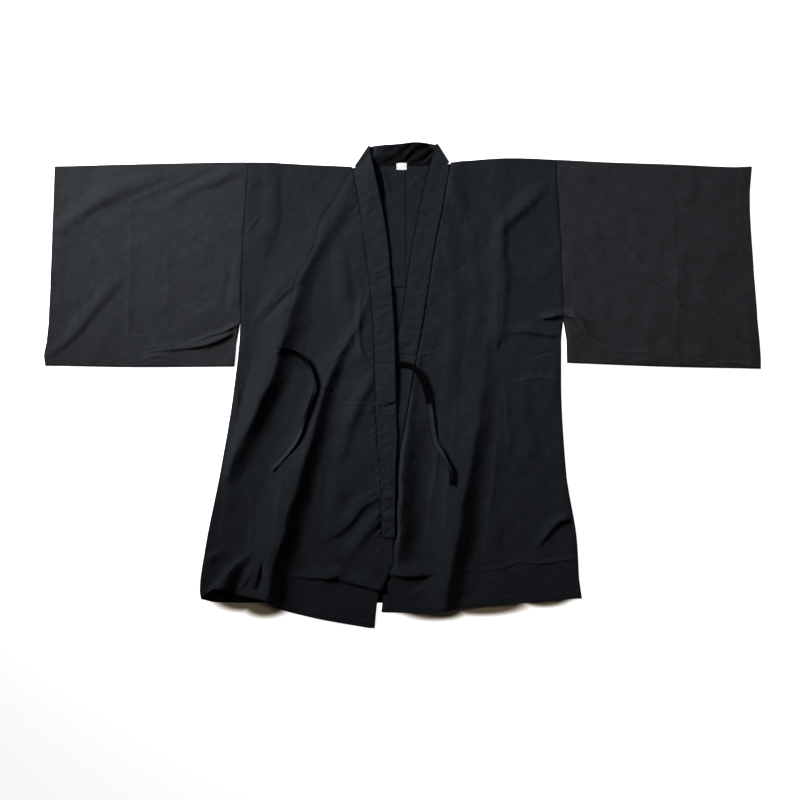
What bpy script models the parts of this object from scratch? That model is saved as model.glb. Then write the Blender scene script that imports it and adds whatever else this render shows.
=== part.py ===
"""Iaido jacket in black cotton, laid flat on its back with the fronts crossed.

Plan tables are in millimetres: x runs from the wearer's right to the wearer's left,
y from the hem to the neck, and z up from the floor that the back lies on.
"""
from collections import namedtuple

import bmesh
import bpy
import numpy as np

# Sizes of the cloth, mm
MM = 0.001
CLOTH = 1.2
BAND_CLOTH = 3.0
TIE_CLOTH = 2.0
LABEL_CLOTH = 0.8
SEAM_GAP = 0.3
BAND_GAP = 0.7

# Heights of the middle of each layer where the jacket lies quite flat, mm
BACK_LAYER = CLOTH / 2
UPPER_LAYER = CLOTH + SEAM_GAP + CLOTH / 2
LINING_CLOTH = 1.0
LINING_LAYER = CLOTH + SEAM_GAP + LINING_CLOTH / 2

# Length of the plan on each kind of edge over which folds die out, mm
SEWN_SIDE_REACH = 20
SHOULDER_REACH = 26
SLEEVE_EDGE_REACH = 18

# Where the sleeve leaves the body, and where seams cross the band, mm up the plan
ARMHOLE_END = 122
ARMHOLE_BLEND = 26
BAND_JOIN = {"right": 45, "left": 61}
BAND_END = {"right": -289, "left": -266}
CENTRE_BACK = -6.7
LINING_CENTRE = 6.7

# Columns and rows of the panels' meshes
FRONT_ROWS = 44
EDGE_ROWS = 9
EDGE_COLUMNS = 2
NECK_COLUMNS = 4
BACK_ROWS = 7
SLEEVE_COLUMNS = 15
SLEEVE_ROWS = 16
SLEEVE_BACK_ROWS = 5
TURN_STEPS = 3
BAND_COLUMNS = 3
BAND_SPACING = 21
PATH_STEPS = 5

TIE_WIDTH = 10
TIE_CLEARANCE = 2
TIE_STEPS = 4

SIGN = {"right": -1, "left": 1}

Bend = namedtuple("Bend", "x y")
Level = namedtuple("Level", "y z")
Gap = namedtuple("Gap", "y gap")
Station = namedtuple("Station", "x y rise left right")
Section = namedtuple("Section", "seam free tilt")
Route = namedtuple("Route", "x y roll")
Guide = namedtuple("Guide", "folds least greatest")

# Outlines of the laid jacket, one row at each bend
SIDE_EDGE = {
    "right": [Bend(-295, 427), Bend(-308, 215), Bend(-310, 110), Bend(-322, -9),
              Bend(-347, -161), Bend(-377, -314), Bend(-387, -391), Bend(-384, -410)],
    "left": [Bend(293, 431), Bend(305, 215), Bend(307, 125), Bend(303, 106), Bend(303, 11),
             Bend(312, -161), Bend(333, -295), Bend(339, -391), Bend(343, -408)],
}
TOP_EDGE = {
    "right": [Bend(-96, 415), Bend(-158, 419), Bend(-295, 425), Bend(-480, 422), Bend(-664, 417)],
    "left": [Bend(92, 423), Bend(117, 427), Bend(209, 433), Bend(293, 430), Bend(394, 425),
             Bend(515, 421), Bend(641, 416), Bend(667, 417)],
}
FRONT_HEM = {
    "right": [Bend(-384, -406), Bend(-354, -387), Bend(-314, -400), Bend(-262, -409),
              Bend(-244, -423), Bend(-173, -443), Bend(-53, -465)],
    "left": [Bend(-41, -433), Bend(49, -435), Bend(114, -425), Bend(177, -419),
             Bend(240, -415), Bend(343, -406)],
}
BACK_HEM = [Bend(-384, -408), Bend(-354, -414), Bend(0, -415), Bend(343, -407)]
NECK_SEAM = [Bend(-96, 415), Bend(-62, 419), Bend(-31, 421), Bend(30, 421), Bend(60, 422), Bend(92, 423)]
COLLAR_TOP = [Bend(-64, 457), Bend(-9, 459), Bend(24, 463), Bend(66, 461)]

# Line where the band is sewn on, and below the band's end the stitched front edge
BAND_SEAM = {
    "right": [Bend(-96, 417), Bend(-87, 373), Bend(-72, 268), Bend(-58, 148), Bend(-53, 64),
              Bend(-51, -32), Bend(-47, -110), Bend(-42, -158), Bend(-39.5, -291),
              Bend(-38, -345), Bend(-46, -385), Bend(-60, -410), Bend(-63, -464)],
    "left": [Bend(91.5, 424), Bend(79, 352), Bend(62, 268), Bend(47, 173), Bend(37, 110),
             Bend(24, 39), Bend(11, -32), Bend(-9, -95), Bend(-22, -266), Bend(-41, -433)],
}
BAND_FREE = {
    "right": [Bend(-62, 455), Bend(-54, 417), Bend(-35, 328), Bend(-26, 268), Bend(-20, 190),
              Bend(-14, 96), Bend(-11, -32), Bend(-9, -95), Bend(-12, -158), Bend(-14, -289)],
    "left": [Bend(64, 458), Bend(56, 436), Bend(43, 391), Bend(24, 301), Bend(9, 217),
             Bend(3, 167), Bend(-5, 121), Bend(-21, 39), Bend(-37, -32), Bend(-53, -95),
             Bend(-66, -266)],
}
FRONT_EDGE = [Bend(-18, -291), Bend(-18, -337), Bend(-26, -358), Bend(-36, -380),
              Bend(-45, -398), Bend(-49, -420), Bend(-53, -464)]

CUFF_EDGE = {
    "right": [Bend(-664, 419), Bend(-669, 274), Bend(-677, 98), Bend(-684, 55), Bend(-682, 38)],
    "left": [Bend(667, 419), Bend(663, 360), Bend(671, 215), Bend(677, 133), Bend(684, 45),
             Bend(684, 32)],
}
SLEEVE_LOW = {
    "right": [Bend(-684, 39), Bend(-500, 36), Bend(-322, 37)],
    "left": [Bend(314, 44), Bend(526, 36), Bend(684, 33)],
}
SLEEVE_GAP = {
    "right": [Gap(37, 4.5), Gap(110, 5.5), Gap(124, 0.3), Gap(431, 0.3)],
    "left": [Gap(44, 11), Gap(70, 11), Gap(112, 6), Gap(124, 0.3), Gap(431, 0.3)],
}

# Height of the upper layer along the band's seam, which the other front lies under or over
SEAM_LEVEL = {
    "right": [Level(417, 5), Level(373, 6.4), Level(64, 6.8), Level(-32, 7.6), Level(-119, 8.4),
              Level(-289, 8.4), Level(-345, 7.4), Level(-380, 5), Level(-415, 3), Level(-462, 2.1)],
    "left": [Level(425, 5), Level(373, 6.2), Level(226, 4.6), Level(110, 2.7), Level(61, 2.4),
             Level(-433, 2.1)],
}
SEAM_LEVEL_REACH = {"right": 84, "left": 50}

# Folds of the fronts and sleeves, followed from the neck or armhole outwards.
# Left and right are the widths of a fold's two flanks, seen by someone who walks along it.
FOLDS = {
    "right": {
        "shoulder roll": [
            Station(-97, 406, 1, 20, 18), Station(-129, 331, 5, 24, 24), Station(-156, 288, 8, 20, 26),
            Station(-194, 220, 12, 20, 28), Station(-222, 120, 16, 24, 34), Station(-241, 60, 17, 20, 30),
            Station(-260, 5, 16, 20, 30), Station(-287, -51, 16, 18, 28), Station(-315, -108, 15, 18, 26),
            Station(-345, -165, 12, 18, 20)],
        "hem roll": [
            Station(-108, 66, 3, 10, 12), Station(-142, 20, 12, 14, 18), Station(-170, -60, 17, 18, 26),
            Station(-200, -158, 20, 20, 32), Station(-228, -255, 24, 22, 38),
            Station(-253, -349, 26, 22, 40), Station(-268, -418, 26, 20, 38)],
        "upper front fold": [
            Station(-50, -205, 3, 10, 20), Station(-100, -234, 6, 12, 24), Station(-148, -276, 5, 12, 24)],
        "lower front fold": [
            Station(-40, -247, 5, 10, 16), Station(-87, -276, 8, 14, 18), Station(-119, -318, 8, 14, 20),
            Station(-133, -362, 4, 14, 18)],
        "hem arch": [
            Station(-287, -314, 2, 12, 10), Station(-310, -338, 5, 16, 12), Station(-333, -360, 9, 20, 16),
            Station(-356, -396, 12, 24, 20)],
        "hem sag": [
            Station(-163, -366, 3, 16, 8), Station(-120, -370, 7, 22, 9), Station(-70, -376, 8, 24, 9),
            Station(-46, -382, 6, 20, 9)],
        "underarm fold": [
            Station(-314, 108, 7, 9, 16), Station(-368, 88, 9, 9, 16), Station(-425, 78, 7, 9, 16),
            Station(-482, 66, 3, 8, 14)],
        "sleeve wave": [
            Station(-461, 392, 2, 26, 24), Station(-530, 370, 5, 30, 26), Station(-590, 340, 5, 30, 26),
            Station(-643, 297, 2, 26, 24)],
    },
    "left": {
        "hem roll": [
            Station(162, 62, 3, 14, 26), Station(155, 20, 9, 18, 36), Station(144, -62, 14, 22, 44),
            Station(131, -135, 17, 24, 48), Station(114, -223, 20, 24, 50), Station(100, -318, 21, 24, 48),
            Station(84, -394, 20, 22, 42), Station(75, -440, 18, 20, 40)],
        "hem sag": [
            Station(-28, -356, 6, 24, 8), Station(15, -360, 9, 26, 8), Station(50, -356, 5, 22, 8)],
        "chest fold": [
            Station(186, 331, 3, 12, 18), Station(189, 250, 5, 14, 22), Station(190, 186, 5, 16, 22),
            Station(182, 72, 3, 14, 20)],
        "shoulder wave": [
            Station(262, 372, 2, 18, 22), Station(217, 330, 5, 20, 24), Station(177, 296, 2, 18, 22)],
        "waist fold": [
            Station(196, 98, 2, 16, 8), Station(246, 98, 4, 18, 8), Station(290, 92, 3, 16, 8)],
        "underarm fold": [
            Station(272, 128, 3, 14, 8), Station(307, 127, 7, 14, 8), Station(338, 118, 8, 16, 8),
            Station(362, 100, 7, 16, 9), Station(398, 82, 3, 14, 9)],
    },
}

# Lines of a front's mesh that run down the crest and the steep foot of its main folds, held
# between the least and greatest shares of the way from the band to the side, and how many
# columns lie between one such line and the next
GUIDES = {
    "right": [Guide(["hem roll"], 0.12, 0.7), Guide(["shoulder roll"], 0.26, 0.95)],
    "left": [Guide(["chest fold", "hem roll"], 0.3, 0.6)],
}
FRONT_COLUMNS = {"right": [4, 2, 4, 2, 5], "left": [7, 2, 8]}
LEAST_FLANK = 0.04

# Cross sections of the band: how far up its seam and its free edge each one ends, and how
# much higher the free edge lies than the seam
BAND_SECTIONS = {
    "right": [Section(-289, -289, 4.5), Section(-223, -223, 4.5), Section(-119, -119, 3), Section(0, 0, 2),
              Section(112, 113, 2), Section(250, 254, 3), Section(310, 318, 3.4), Section(350, 364, 3.4),
              Section(380, 401, 3), Section(400, 428, 2.4), Section(411, 447, 1.8)],
    "left": [Section(-266, -266, 0), Section(62, 62, 0), Section(112, 113, 0.6), Section(173, 176, 2),
             Section(226, 232, 3), Section(300, 310, 3.4), Section(350, 364, 3.4), Section(380, 400, 3),
             Section(400, 427, 2.4), Section(412, 447, 1.8)],
}
BACK_SECTIONS = [Section(-72, -53, 1), Section(-45, -34, 1.5), Section(-15, -12, 1.5),
                 Section(15, 13, 1.5), Section(45, 35, 1.5), Section(70, 50, 1)]
COLLAR_FOLD = {
    "right": {"seam": Bend(-88.5, 416.4), "free": Bend(-61.5, 455.4)},
    "left": {"seam": Bend(86.4, 424), "free": Bend(63.4, 459.6)},
}
FOLD_LEVEL = {"seam": 6.2, "free": 8}
COLLAR_LEVEL = BAND_CLOTH / 2

# Half widths of the inner lining at its top and at its lower edge
LINING_TOP = Bend(70, 417.5)
LINING_BOTTOM = Bend(45, 188)
LINING_ROWS = 6

LABEL_CENTRE = Bend(-1.5, 418)
LABEL_SIZE = Bend(21, 14.5)

# Way of each tie along the front it lies on. Roll turns the tape from flat to its edge, degrees.
TIE_ROUTES = {
    "right": [Route(-244, 66, 15), Route(-219, 66, 60), Route(-192, 54, 85), Route(-173, 26, 88),
              Route(-167, 1, 88), Route(-175, -24, 75), Route(-184, -56, 45), Route(-198, -96, 15),
              Route(-219, -127, 5), Route(-251, -161, 0)],
    "left": [Route(-4, 42, 80), Route(13, 38, 85), Route(30, 24, 88), Route(43, -3, 85),
             Route(51, -32, 50), Route(54, -62, 10), Route(62, -104, 10), Route(80, -133, 60),
             Route(94, -161, 60), Route(95, -188, 20)],
}

# Linear colour and roughness of each cloth
BLACK_COTTON = {"colour": (0.017, 0.019, 0.022), "roughness": 0.86}
BAND_COTTON = {"colour": (0.021, 0.023, 0.027), "roughness": 0.84}
LINING_COTTON = {"colour": (0.015, 0.017, 0.020), "roughness": 0.88}
LABEL_WEAVE = {"colour": (0.85, 0.85, 0.83), "roughness": 0.7}


def remove_objects():
    """Empty the scene."""
    for thing in list(bpy.data.objects):
        bpy.data.objects.remove(thing, do_unlink=True)


def ease(value):
    """Smooth step from 0 to 1."""
    value = np.clip(value, 0, 1)
    return value * value * (3 - 2 * value)


def mix(first, second, share):
    """Value that lies the given share of the way from first to second."""
    return first + (second - first) * share


def graph(rows, across, up):
    """Smooth graph of one column of a table over another, level past both its ends."""
    table = sorted((getattr(row, across), getattr(row, up)) for row in rows)
    places, values = np.array(table, dtype=float).T
    widths = np.diff(places)
    slopes = np.diff(values) / widths
    tangents = np.zeros(len(places))
    tangents[0] = slopes[0]
    tangents[-1] = slopes[-1]
    for i in range(1, len(places) - 1):
        if slopes[i - 1] * slopes[i] > 0:
            tangents[i] = 2 * slopes[i - 1] * slopes[i] / (slopes[i - 1] + slopes[i])

    def value_at(place):
        place = np.clip(place, places[0], places[-1])
        i = np.clip(np.searchsorted(places, place) - 1, 0, len(widths) - 1)
        t = (place - places[i]) / widths[i]
        curved = tangents[i] * t * (1 - t) ** 2 - tangents[i + 1] * t ** 2 * (1 - t)
        return mix(values[i], values[i + 1], ease(t)) + widths[i] * curved

    return value_at


def smooth_path(rows, steps):
    """Rows of numbers joined by one smooth curve, with steps points to each span."""
    table = np.array(rows, dtype=float)
    ends = np.vstack([2 * table[0] - table[1], table, 2 * table[-1] - table[-2]])
    points = []
    for i in range(len(table) - 1):
        before, start, end, after = ends[i:i + 4]
        for k in range(steps):
            t = k / steps
            bend = 2 * before - 5 * start + 4 * end - after
            twist = 3 * start - before - 3 * end + after
            points.append(start + 0.5 * ((end - before) * t + bend * t ** 2 + twist * t ** 3))
    points.append(table[-1])
    return np.array(points)


side_edge = {side: graph(rows, "y", "x") for side, rows in SIDE_EDGE.items()}
top_edge = {side: graph(rows, "x", "y") for side, rows in TOP_EDGE.items()}
front_hem = {side: graph(rows, "x", "y") for side, rows in FRONT_HEM.items()}
back_hem = graph(BACK_HEM, "x", "y")
neck_seam = graph(NECK_SEAM, "x", "y")
collar_top = graph(COLLAR_TOP, "x", "y")
band_seam = {side: graph(rows, "y", "x") for side, rows in BAND_SEAM.items()}
band_free = {side: graph(rows, "y", "x") for side, rows in BAND_FREE.items()}
front_edge = graph(FRONT_EDGE, "y", "x")
cuff_edge = {side: graph(rows, "y", "x") for side, rows in CUFF_EDGE.items()}
sleeve_low = {side: graph(rows, "x", "y") for side, rows in SLEEVE_LOW.items()}
sleeve_gap = {side: graph(rows, "y", "gap") for side, rows in SLEEVE_GAP.items()}
seam_level = {side: graph(rows, "y", "z") for side, rows in SEAM_LEVEL.items()}
free_level = {side: graph(rows, "seam", "free") for side, rows in BAND_SECTIONS.items()}
free_tilt = {side: graph(rows, "seam", "tilt") for side, rows in BAND_SECTIONS.items()}


def sleeve_inner(side, y):
    """Inner edge of a sleeve: along the armhole seam, then free of the body."""
    return side_edge[side](y) + SIGN[side] * sleeve_gap[side](y)


def fold_rise(stations, x, y):
    """Height that one fold adds at the points x, y."""
    path = smooth_path(stations, PATH_STEPS)
    nearest = np.full(np.shape(x), np.inf)
    rise = np.zeros(np.shape(x))
    for start, end in zip(path[:-1], path[1:]):
        step = end[:2] - start[:2]
        share = ((x - start[0]) * step[0] + (y - start[1]) * step[1]) / (step @ step)
        share = np.clip(share, 0, 1)
        across = x - mix(start[0], end[0], share)
        along = y - mix(start[1], end[1], share)
        distance = np.hypot(across, along)
        on_left = step[0] * along - step[1] * across > 0
        width = np.where(on_left, mix(start[3], end[3], share), mix(start[4], end[4], share))
        bump = mix(start[2], end[2], share) * (0.5 + 0.5 * np.cos(np.pi * np.clip(distance / width, 0, 1)))
        closer = distance < nearest
        nearest = np.where(closer, distance, nearest)
        rise = np.where(closer, bump, rise)
    return rise


def folds(side, x, y):
    """Height that all folds of one side add together."""
    return sum(fold_rise(stations, x, y) for stations in FOLDS[side].values())


def front_height(side, x, y):
    """Height of the middle of a front's cloth."""
    inside = SIGN[side] * (side_edge[side](y) - x)
    held = np.maximum(ease(inside / SEWN_SIDE_REACH), ease((y - ARMHOLE_END) / ARMHOLE_BLEND))
    held = held * ease((top_edge[side](x) - y) / SHOULDER_REACH)
    from_band = SIGN[side] * (x - band_seam[side](y))
    propped = (seam_level[side](y) - UPPER_LAYER) * (1 - ease(from_band / SEAM_LEVEL_REACH[side]))
    return UPPER_LAYER + held * folds(side, x, y) + propped


def sleeve_height(side, x, y):
    """Height of the middle of a sleeve's upper layer."""
    outside = SIGN[side] * (x - sleeve_inner(side, y))
    held = np.maximum(ease(outside / SEWN_SIDE_REACH), ease((y - ARMHOLE_END) / ARMHOLE_BLEND))
    held = held * ease((top_edge[side](x) - y) / SHOULDER_REACH)
    held = held * ease((y - sleeve_low[side](x)) / SLEEVE_EDGE_REACH)
    return UPPER_LAYER + held * folds(side, x, y)


def half_turn(low, high, outward):
    """Points of the round edge where cloth turns back from a low point to a high one."""
    low = np.array(low, dtype=float)
    high = np.array(high, dtype=float)
    middle = (low + high) / 2
    radius = (high[2] - low[2]) / 2
    points = []
    for k in range(1, TURN_STEPS + 1):
        angle = np.pi * (k / (TURN_STEPS + 1) - 0.5)
        lean = middle + (high - low) / 2 * np.sin(angle)
        points.append(lean + np.array([*outward, 0]) * radius * np.cos(angle))
    return points


def make_material(name, look):
    """Matt cloth of one plain colour."""
    material = bpy.data.materials.new(name)
    material.use_nodes = True
    shader = material.node_tree.nodes["Principled BSDF"]
    shader.inputs["Base Color"].default_value = (*look["colour"], 1)
    shader.inputs["Roughness"].default_value = look["roughness"]
    shader.inputs["Metallic"].default_value = 0
    return material


def sew(name, rows, thickness, look, closed=False):
    """Cloth wall through rows of points in mm. A point of None leaves the grid open there."""
    shape = bmesh.new()
    corners = [[None if point is None else shape.verts.new(np.array(point) * MM) for point in row]
               for row in rows]
    pairs = list(zip(corners[:-1], corners[1:]))
    if closed:
        pairs.append((corners[-1], corners[0]))
    for below, above in pairs:
        for k in range(len(below) - 1):
            ring = [below[k], below[k + 1], above[k + 1], above[k]]
            if None not in ring:
                shape.faces.new(ring)
    bmesh.ops.recalc_face_normals(shape, faces=shape.faces)
    mesh = bpy.data.meshes.new(name)
    shape.to_mesh(mesh)
    shape.free()
    mesh.shade_smooth()
    mesh.materials.append(make_material(name + "_cloth", look))
    piece = bpy.data.objects.new(name, mesh)
    jacket.objects.link(piece)
    wall = piece.modifiers.new("wall", "SOLIDIFY")
    wall.thickness = thickness * MM
    wall.offset = 0
    wall.use_even_offset = False
    return piece


def guide_lines(side):
    """Shares of the way from band to side at which the mesh follows the main folds, over y."""
    lines = []
    for guide in GUIDES[side]:
        stations = [station for fold in guide.folds for station in FOLDS[side][fold]]
        near = []
        far = []
        for station in stations:
            seam = float(band_seam[side](station.y))
            width = float(side_edge[side](station.y)) - seam
            crest = np.clip((station.x - seam) / width, guide.least, guide.greatest)
            foot = crest + station.left / abs(width) * SIGN[side]
            low = max(min(crest, foot), guide.least)
            near.append(Bend(low, station.y))
            far.append(Bend(max(crest, foot, low + LEAST_FLANK), station.y))
        lines += [graph(near, "y", "x"), graph(far, "y", "x")]
    return lines


def column_shares(side, y):
    """Share of the way from band to side of each column of a front, at the heights y."""
    lines = [lambda _: 0.0, *guide_lines(side), lambda _: 1.0]
    shares = [0.0]
    for count, start, end in zip(FRONT_COLUMNS[side], lines[:-1], lines[1:]):
        for k in range(1, count + 1):
            height = y[len(shares)]
            shares.append(float(mix(start(height), end(height), k / count)))
    return np.array(shares)


def front_rows(side):
    """Grid of a front, from the shoulder down to the hem, each row from the band to the side."""
    gap = SIGN[side] * BAND_GAP
    columns = sum(FRONT_COLUMNS[side]) + 1
    y_top = np.full(columns, float(TOP_EDGE[side][0].y))
    y_hem = np.full(columns, float(BACK_HEM[0].y))
    for _ in range(4):
        x_top = mix(band_seam[side](y_top) + gap, side_edge[side](y_top), column_shares(side, y_top))
        y_top = top_edge[side](x_top)
        x_hem = mix(band_seam[side](y_hem), side_edge[side](y_hem), column_shares(side, y_hem))
        y_hem = front_hem[side](x_hem)
    end = (y_top[0] - BAND_END[side] + 2) / (y_top[0] - y_hem[0])
    upper = np.linspace(0, end, FRONT_ROWS - EDGE_ROWS + 1)
    lower = np.linspace(end, 1, EDGE_ROWS + 1)[1:]
    rows = []
    for down in [*upper, *lower]:
        y = mix(y_top, y_hem, down)
        x = mix(band_seam[side](y) + gap, side_edge[side](y), column_shares(side, y))
        rows.append(np.column_stack([x, y, front_height(side, x, y)]))
    return rows


def stitched_edge(row):
    """Turned edge of the right front below its band, as more points on the band's side."""
    x, y = row[0][:2]
    shares = np.arange(EDGE_COLUMNS, 0, -1) / EDGE_COLUMNS
    x_edge = mix(x, front_edge(y), shares)
    y_edge = np.full(EDGE_COLUMNS, y)
    return np.column_stack([x_edge, y_edge, front_height("right", x_edge, y_edge)])


def back_rows(side, x_top):
    """Grid of a back half, from the hem up to the neck seam, each row from the middle to the side."""
    middle = CENTRE_BACK + SIGN[side] * SEAM_GAP / 2
    neck = np.linspace(middle, x_top[0], NECK_COLUMNS + 1)[:-1]
    x_end = np.concatenate([neck, x_top])
    y_end = np.concatenate([neck_seam(neck), top_edge[side](x_top)])
    shares = (x_end - middle) / (x_end[-1] - middle)
    x_hem = mix(middle, SIDE_EDGE[side][-1].x, shares)
    y_hem = back_hem(x_hem)
    rows = []
    for up in np.linspace(0, 1, BACK_ROWS + 1):
        y = mix(y_hem, y_end, up)
        x = mix(middle, side_edge[side](y), shares)
        rows.append(np.column_stack([x, y, np.full(len(x), BACK_LAYER)]))
    return rows


def make_body(side):
    """Front and back of one side in one length over the shoulder."""
    front = front_rows(side)
    back = back_rows(side, front[0][:, 0])
    turned = [half_turn((*high[:2], BACK_LAYER), high, (0, 1)) for high in front[0]]
    extra = EDGE_COLUMNS if side == "right" else 0
    empty = [None] * extra
    rows = [[*empty, *row] for row in back]
    unused = [None] * NECK_COLUMNS
    for k in range(TURN_STEPS):
        rows.append([*empty, *unused, *(points[k] for points in turned)])
    blank = [None] * (NECK_COLUMNS - extra)
    for number, row in enumerate(front):
        stitched = side == "right" and number >= FRONT_ROWS - EDGE_ROWS
        edge = [*stitched_edge(row)] if stitched else [None] * extra
        rows.append([*empty, *blank, *edge, *row])
    return sew("body_" + side, rows, CLOTH, BLACK_COTTON)


def make_sleeve(side):
    """Sleeve folded along its top and sewn along its lower edge, open at the cuff and armhole."""
    low, high = SLEEVE_LOW[side][0].y, TOP_EDGE[side][2].y
    columns = []
    for share in np.linspace(0, 1, SLEEVE_COLUMNS + 1):
        y_top = top_edge[side](mix(sleeve_inner(side, high), cuff_edge[side](high), share))
        y_low = sleeve_low[side](mix(sleeve_inner(side, low), cuff_edge[side](low), share))
        y = np.linspace(y_top, y_low, SLEEVE_ROWS + 1)
        x = mix(sleeve_inner(side, y), cuff_edge[side](y), share)
        upper = np.column_stack([x, y, sleeve_height(side, x, y)])
        y = np.linspace(y_low, y_top, SLEEVE_BACK_ROWS + 1)
        x = mix(sleeve_inner(side, y), cuff_edge[side](y), share)
        under = np.column_stack([x, y, np.full(len(x), BACK_LAYER)])
        top_turn = half_turn(under[-1], upper[0], (0, 1))
        low_turn = half_turn(under[0], upper[-1], (0, -1))
        columns.append([*under, *top_turn, *upper, *reversed(low_turn)])
    ring = [[column[k] for column in columns] for k in range(len(columns[0]))]
    return sew("sleeve_" + side, ring, CLOTH, BLACK_COTTON, closed=True)


def across_band(seam, free):
    """Points of one cross section of the band."""
    shares = np.linspace(0, 1, BAND_COLUMNS + 1)[:, None]
    return mix(np.array(seam, dtype=float), np.array(free, dtype=float), shares)


def front_sections(side, low, high):
    """Cross sections of the band on a front, level with the front's cloth at the seam."""
    sections = []
    for y in np.linspace(low, high, round((high - low) / BAND_SPACING) + 1):
        x = float(band_seam[side](y))
        z = float(front_height(side, x, y)) + (BAND_CLOTH - CLOTH) / 2
        y_free = float(free_level[side](y))
        free = (float(band_free[side](y_free)), y_free, z + float(free_tilt[side](y)))
        sections.append(across_band((x, y, z), free))
    return sections


def collar_turn(side):
    """Sections of the slanting fold where the band turns from a front to the back of the neck."""
    seam = COLLAR_FOLD[side]["seam"]
    free = COLLAR_FOLD[side]["free"]
    slant = np.array([free.x - seam.x, free.y - seam.y])
    outward = np.array([-slant[1], slant[0]]) * -SIGN[side] / np.hypot(*slant)
    low = across_band((*seam, COLLAR_LEVEL), (*free, COLLAR_LEVEL + 1))
    high = across_band((*seam, FOLD_LEVEL["seam"]), (*free, FOLD_LEVEL["free"]))
    turns = [half_turn(below, above, outward) for below, above in zip(low, high)]
    between = [[points[k] for points in turns] for k in range(TURN_STEPS)]
    return [low, *between, high]


def back_section(section):
    """Cross section of the band behind the neck, where it lies on the floor."""
    seam = (section.seam, float(neck_seam(section.seam)) + SEAM_GAP, COLLAR_LEVEL)
    free = (section.free, float(collar_top(section.free)), COLLAR_LEVEL + section.tilt)
    return across_band(seam, free)


def make_collar():
    """Middle length of the band, up one front, round the neck and down the other."""
    rows = []
    for side in ("right", "left"):
        join = BAND_JOIN[side] + SEAM_GAP / 2
        front = front_sections(side, join, BAND_SECTIONS[side][-1].seam)
        turn = collar_turn(side)
        if side == "right":
            rows += [*front, *reversed(turn)]
            rows += [back_section(section) for section in BACK_SECTIONS]
        else:
            rows += [*turn, *reversed(front)]
    return sew("collar", rows, BAND_CLOTH, BAND_COTTON)


def make_band(side):
    """Lower length of the band on one front."""
    rows = front_sections(side, BAND_END[side], BAND_JOIN[side] - SEAM_GAP / 2)
    return sew("band_" + side, rows, BAND_CLOTH, BAND_COTTON)


def make_lining(side):
    """Half of the lining inside the back of the neck."""
    middle = LINING_CENTRE + SIGN[side] * SEAM_GAP / 2
    rows = []
    for down in np.linspace(0, 1, LINING_ROWS + 1):
        y = mix(LINING_TOP.y, LINING_BOTTOM.y, down)
        outer = SIGN[side] * mix(LINING_TOP.x, LINING_BOTTOM.x, down)
        rows.append([(x, y, LINING_LAYER) for x in np.linspace(middle, outer, 3)])
    return sew("lining_" + side, rows, LINING_CLOTH, LINING_COTTON)


def make_label():
    """Blank woven label at the middle of the neck seam."""
    half_width, half_height = LABEL_SIZE.x / 2, LABEL_SIZE.y / 2
    z = BAND_CLOTH + SEAM_GAP + LABEL_CLOTH / 2
    rows = [[(LABEL_CENTRE.x + across * half_width, LABEL_CENTRE.y + up * half_height, z)
             for across in (-1, 1)] for up in (-1, 1)]
    return sew("neck_label", rows, LABEL_CLOTH, LABEL_WEAVE)


def top_of_front(side, x, y):
    """Height of the upper face of a front, or of its band on the band's side of the seam."""
    seam = band_seam[side](y)
    band_face = front_height(side, seam, y) + BAND_CLOTH - CLOTH / 2
    return np.where(SIGN[side] * (x - seam) > TIE_CLOTH, front_height(side, x, y) + CLOTH / 2, band_face)


def make_tie(side):
    """Narrow tie along its route over a front, rolled onto its edge where the route says."""
    path = smooth_path(TIE_ROUTES[side], TIE_STEPS)
    heading = np.gradient(path[:, :2], axis=0)
    heading /= np.linalg.norm(heading, axis=1)[:, None]
    sideways = np.column_stack([-heading[:, 1], heading[:, 0]])
    half = TIE_WIDTH / 2
    rows = []
    for (x, y, roll), aside in zip(path, sideways):
        edges = top_of_front(side, x + aside[0] * np.array([-half, half]), y + aside[1] * np.array([-half, half]))
        lean = np.arctan2(edges[1] - edges[0], TIE_WIDTH) + np.radians(roll)
        step = np.array([*(aside * np.cos(lean)), np.sin(lean)]) * half
        shares = np.linspace(-1.2, 1.2, 7)
        under = top_of_front(side, x + step[0] * shares, y + step[1] * shares) - step[2] * shares
        middle = np.array([x, y, under.max() + TIE_CLOTH / 2 + TIE_CLEARANCE])
        rows.append([middle - step, middle + step])
    return sew("tie_" + side, rows, TIE_CLOTH, BAND_COTTON)


remove_objects()
jacket = bpy.data.collections.new("iaido_jacket")
bpy.context.scene.collection.children.link(jacket)
for side_name in ("right", "left"):
    make_body(side_name)
    make_sleeve(side_name)
    make_band(side_name)
    make_lining(side_name)
    make_tie(side_name)
make_collar()
make_label()
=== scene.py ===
"""Looks of a black cotton iaido jacket that lies flat on its back with the fronts crossed.

Tables are in millimetres, as the jacket's plan is: x runs from the wearer's right to the
wearer's left, y from the hem to the neck, and z up from the floor that the back lies on.
"""
from collections import namedtuple

import bpy
import numpy as np
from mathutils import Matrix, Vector


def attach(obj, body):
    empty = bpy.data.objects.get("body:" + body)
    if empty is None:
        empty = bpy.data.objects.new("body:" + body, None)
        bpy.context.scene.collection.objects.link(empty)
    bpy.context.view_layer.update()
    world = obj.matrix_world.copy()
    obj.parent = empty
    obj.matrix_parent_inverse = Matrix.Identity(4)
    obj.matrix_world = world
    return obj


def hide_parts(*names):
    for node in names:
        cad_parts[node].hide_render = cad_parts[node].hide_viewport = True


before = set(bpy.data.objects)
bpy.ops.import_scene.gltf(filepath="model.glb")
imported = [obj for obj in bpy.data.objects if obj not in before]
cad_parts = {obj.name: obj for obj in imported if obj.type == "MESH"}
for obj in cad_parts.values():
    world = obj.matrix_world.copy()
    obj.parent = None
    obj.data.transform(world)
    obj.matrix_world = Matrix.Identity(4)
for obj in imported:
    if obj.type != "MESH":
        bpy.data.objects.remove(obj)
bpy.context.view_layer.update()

# Sizes of the cloth, mm
MM = 0.001
CLOTH = 0.9
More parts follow.
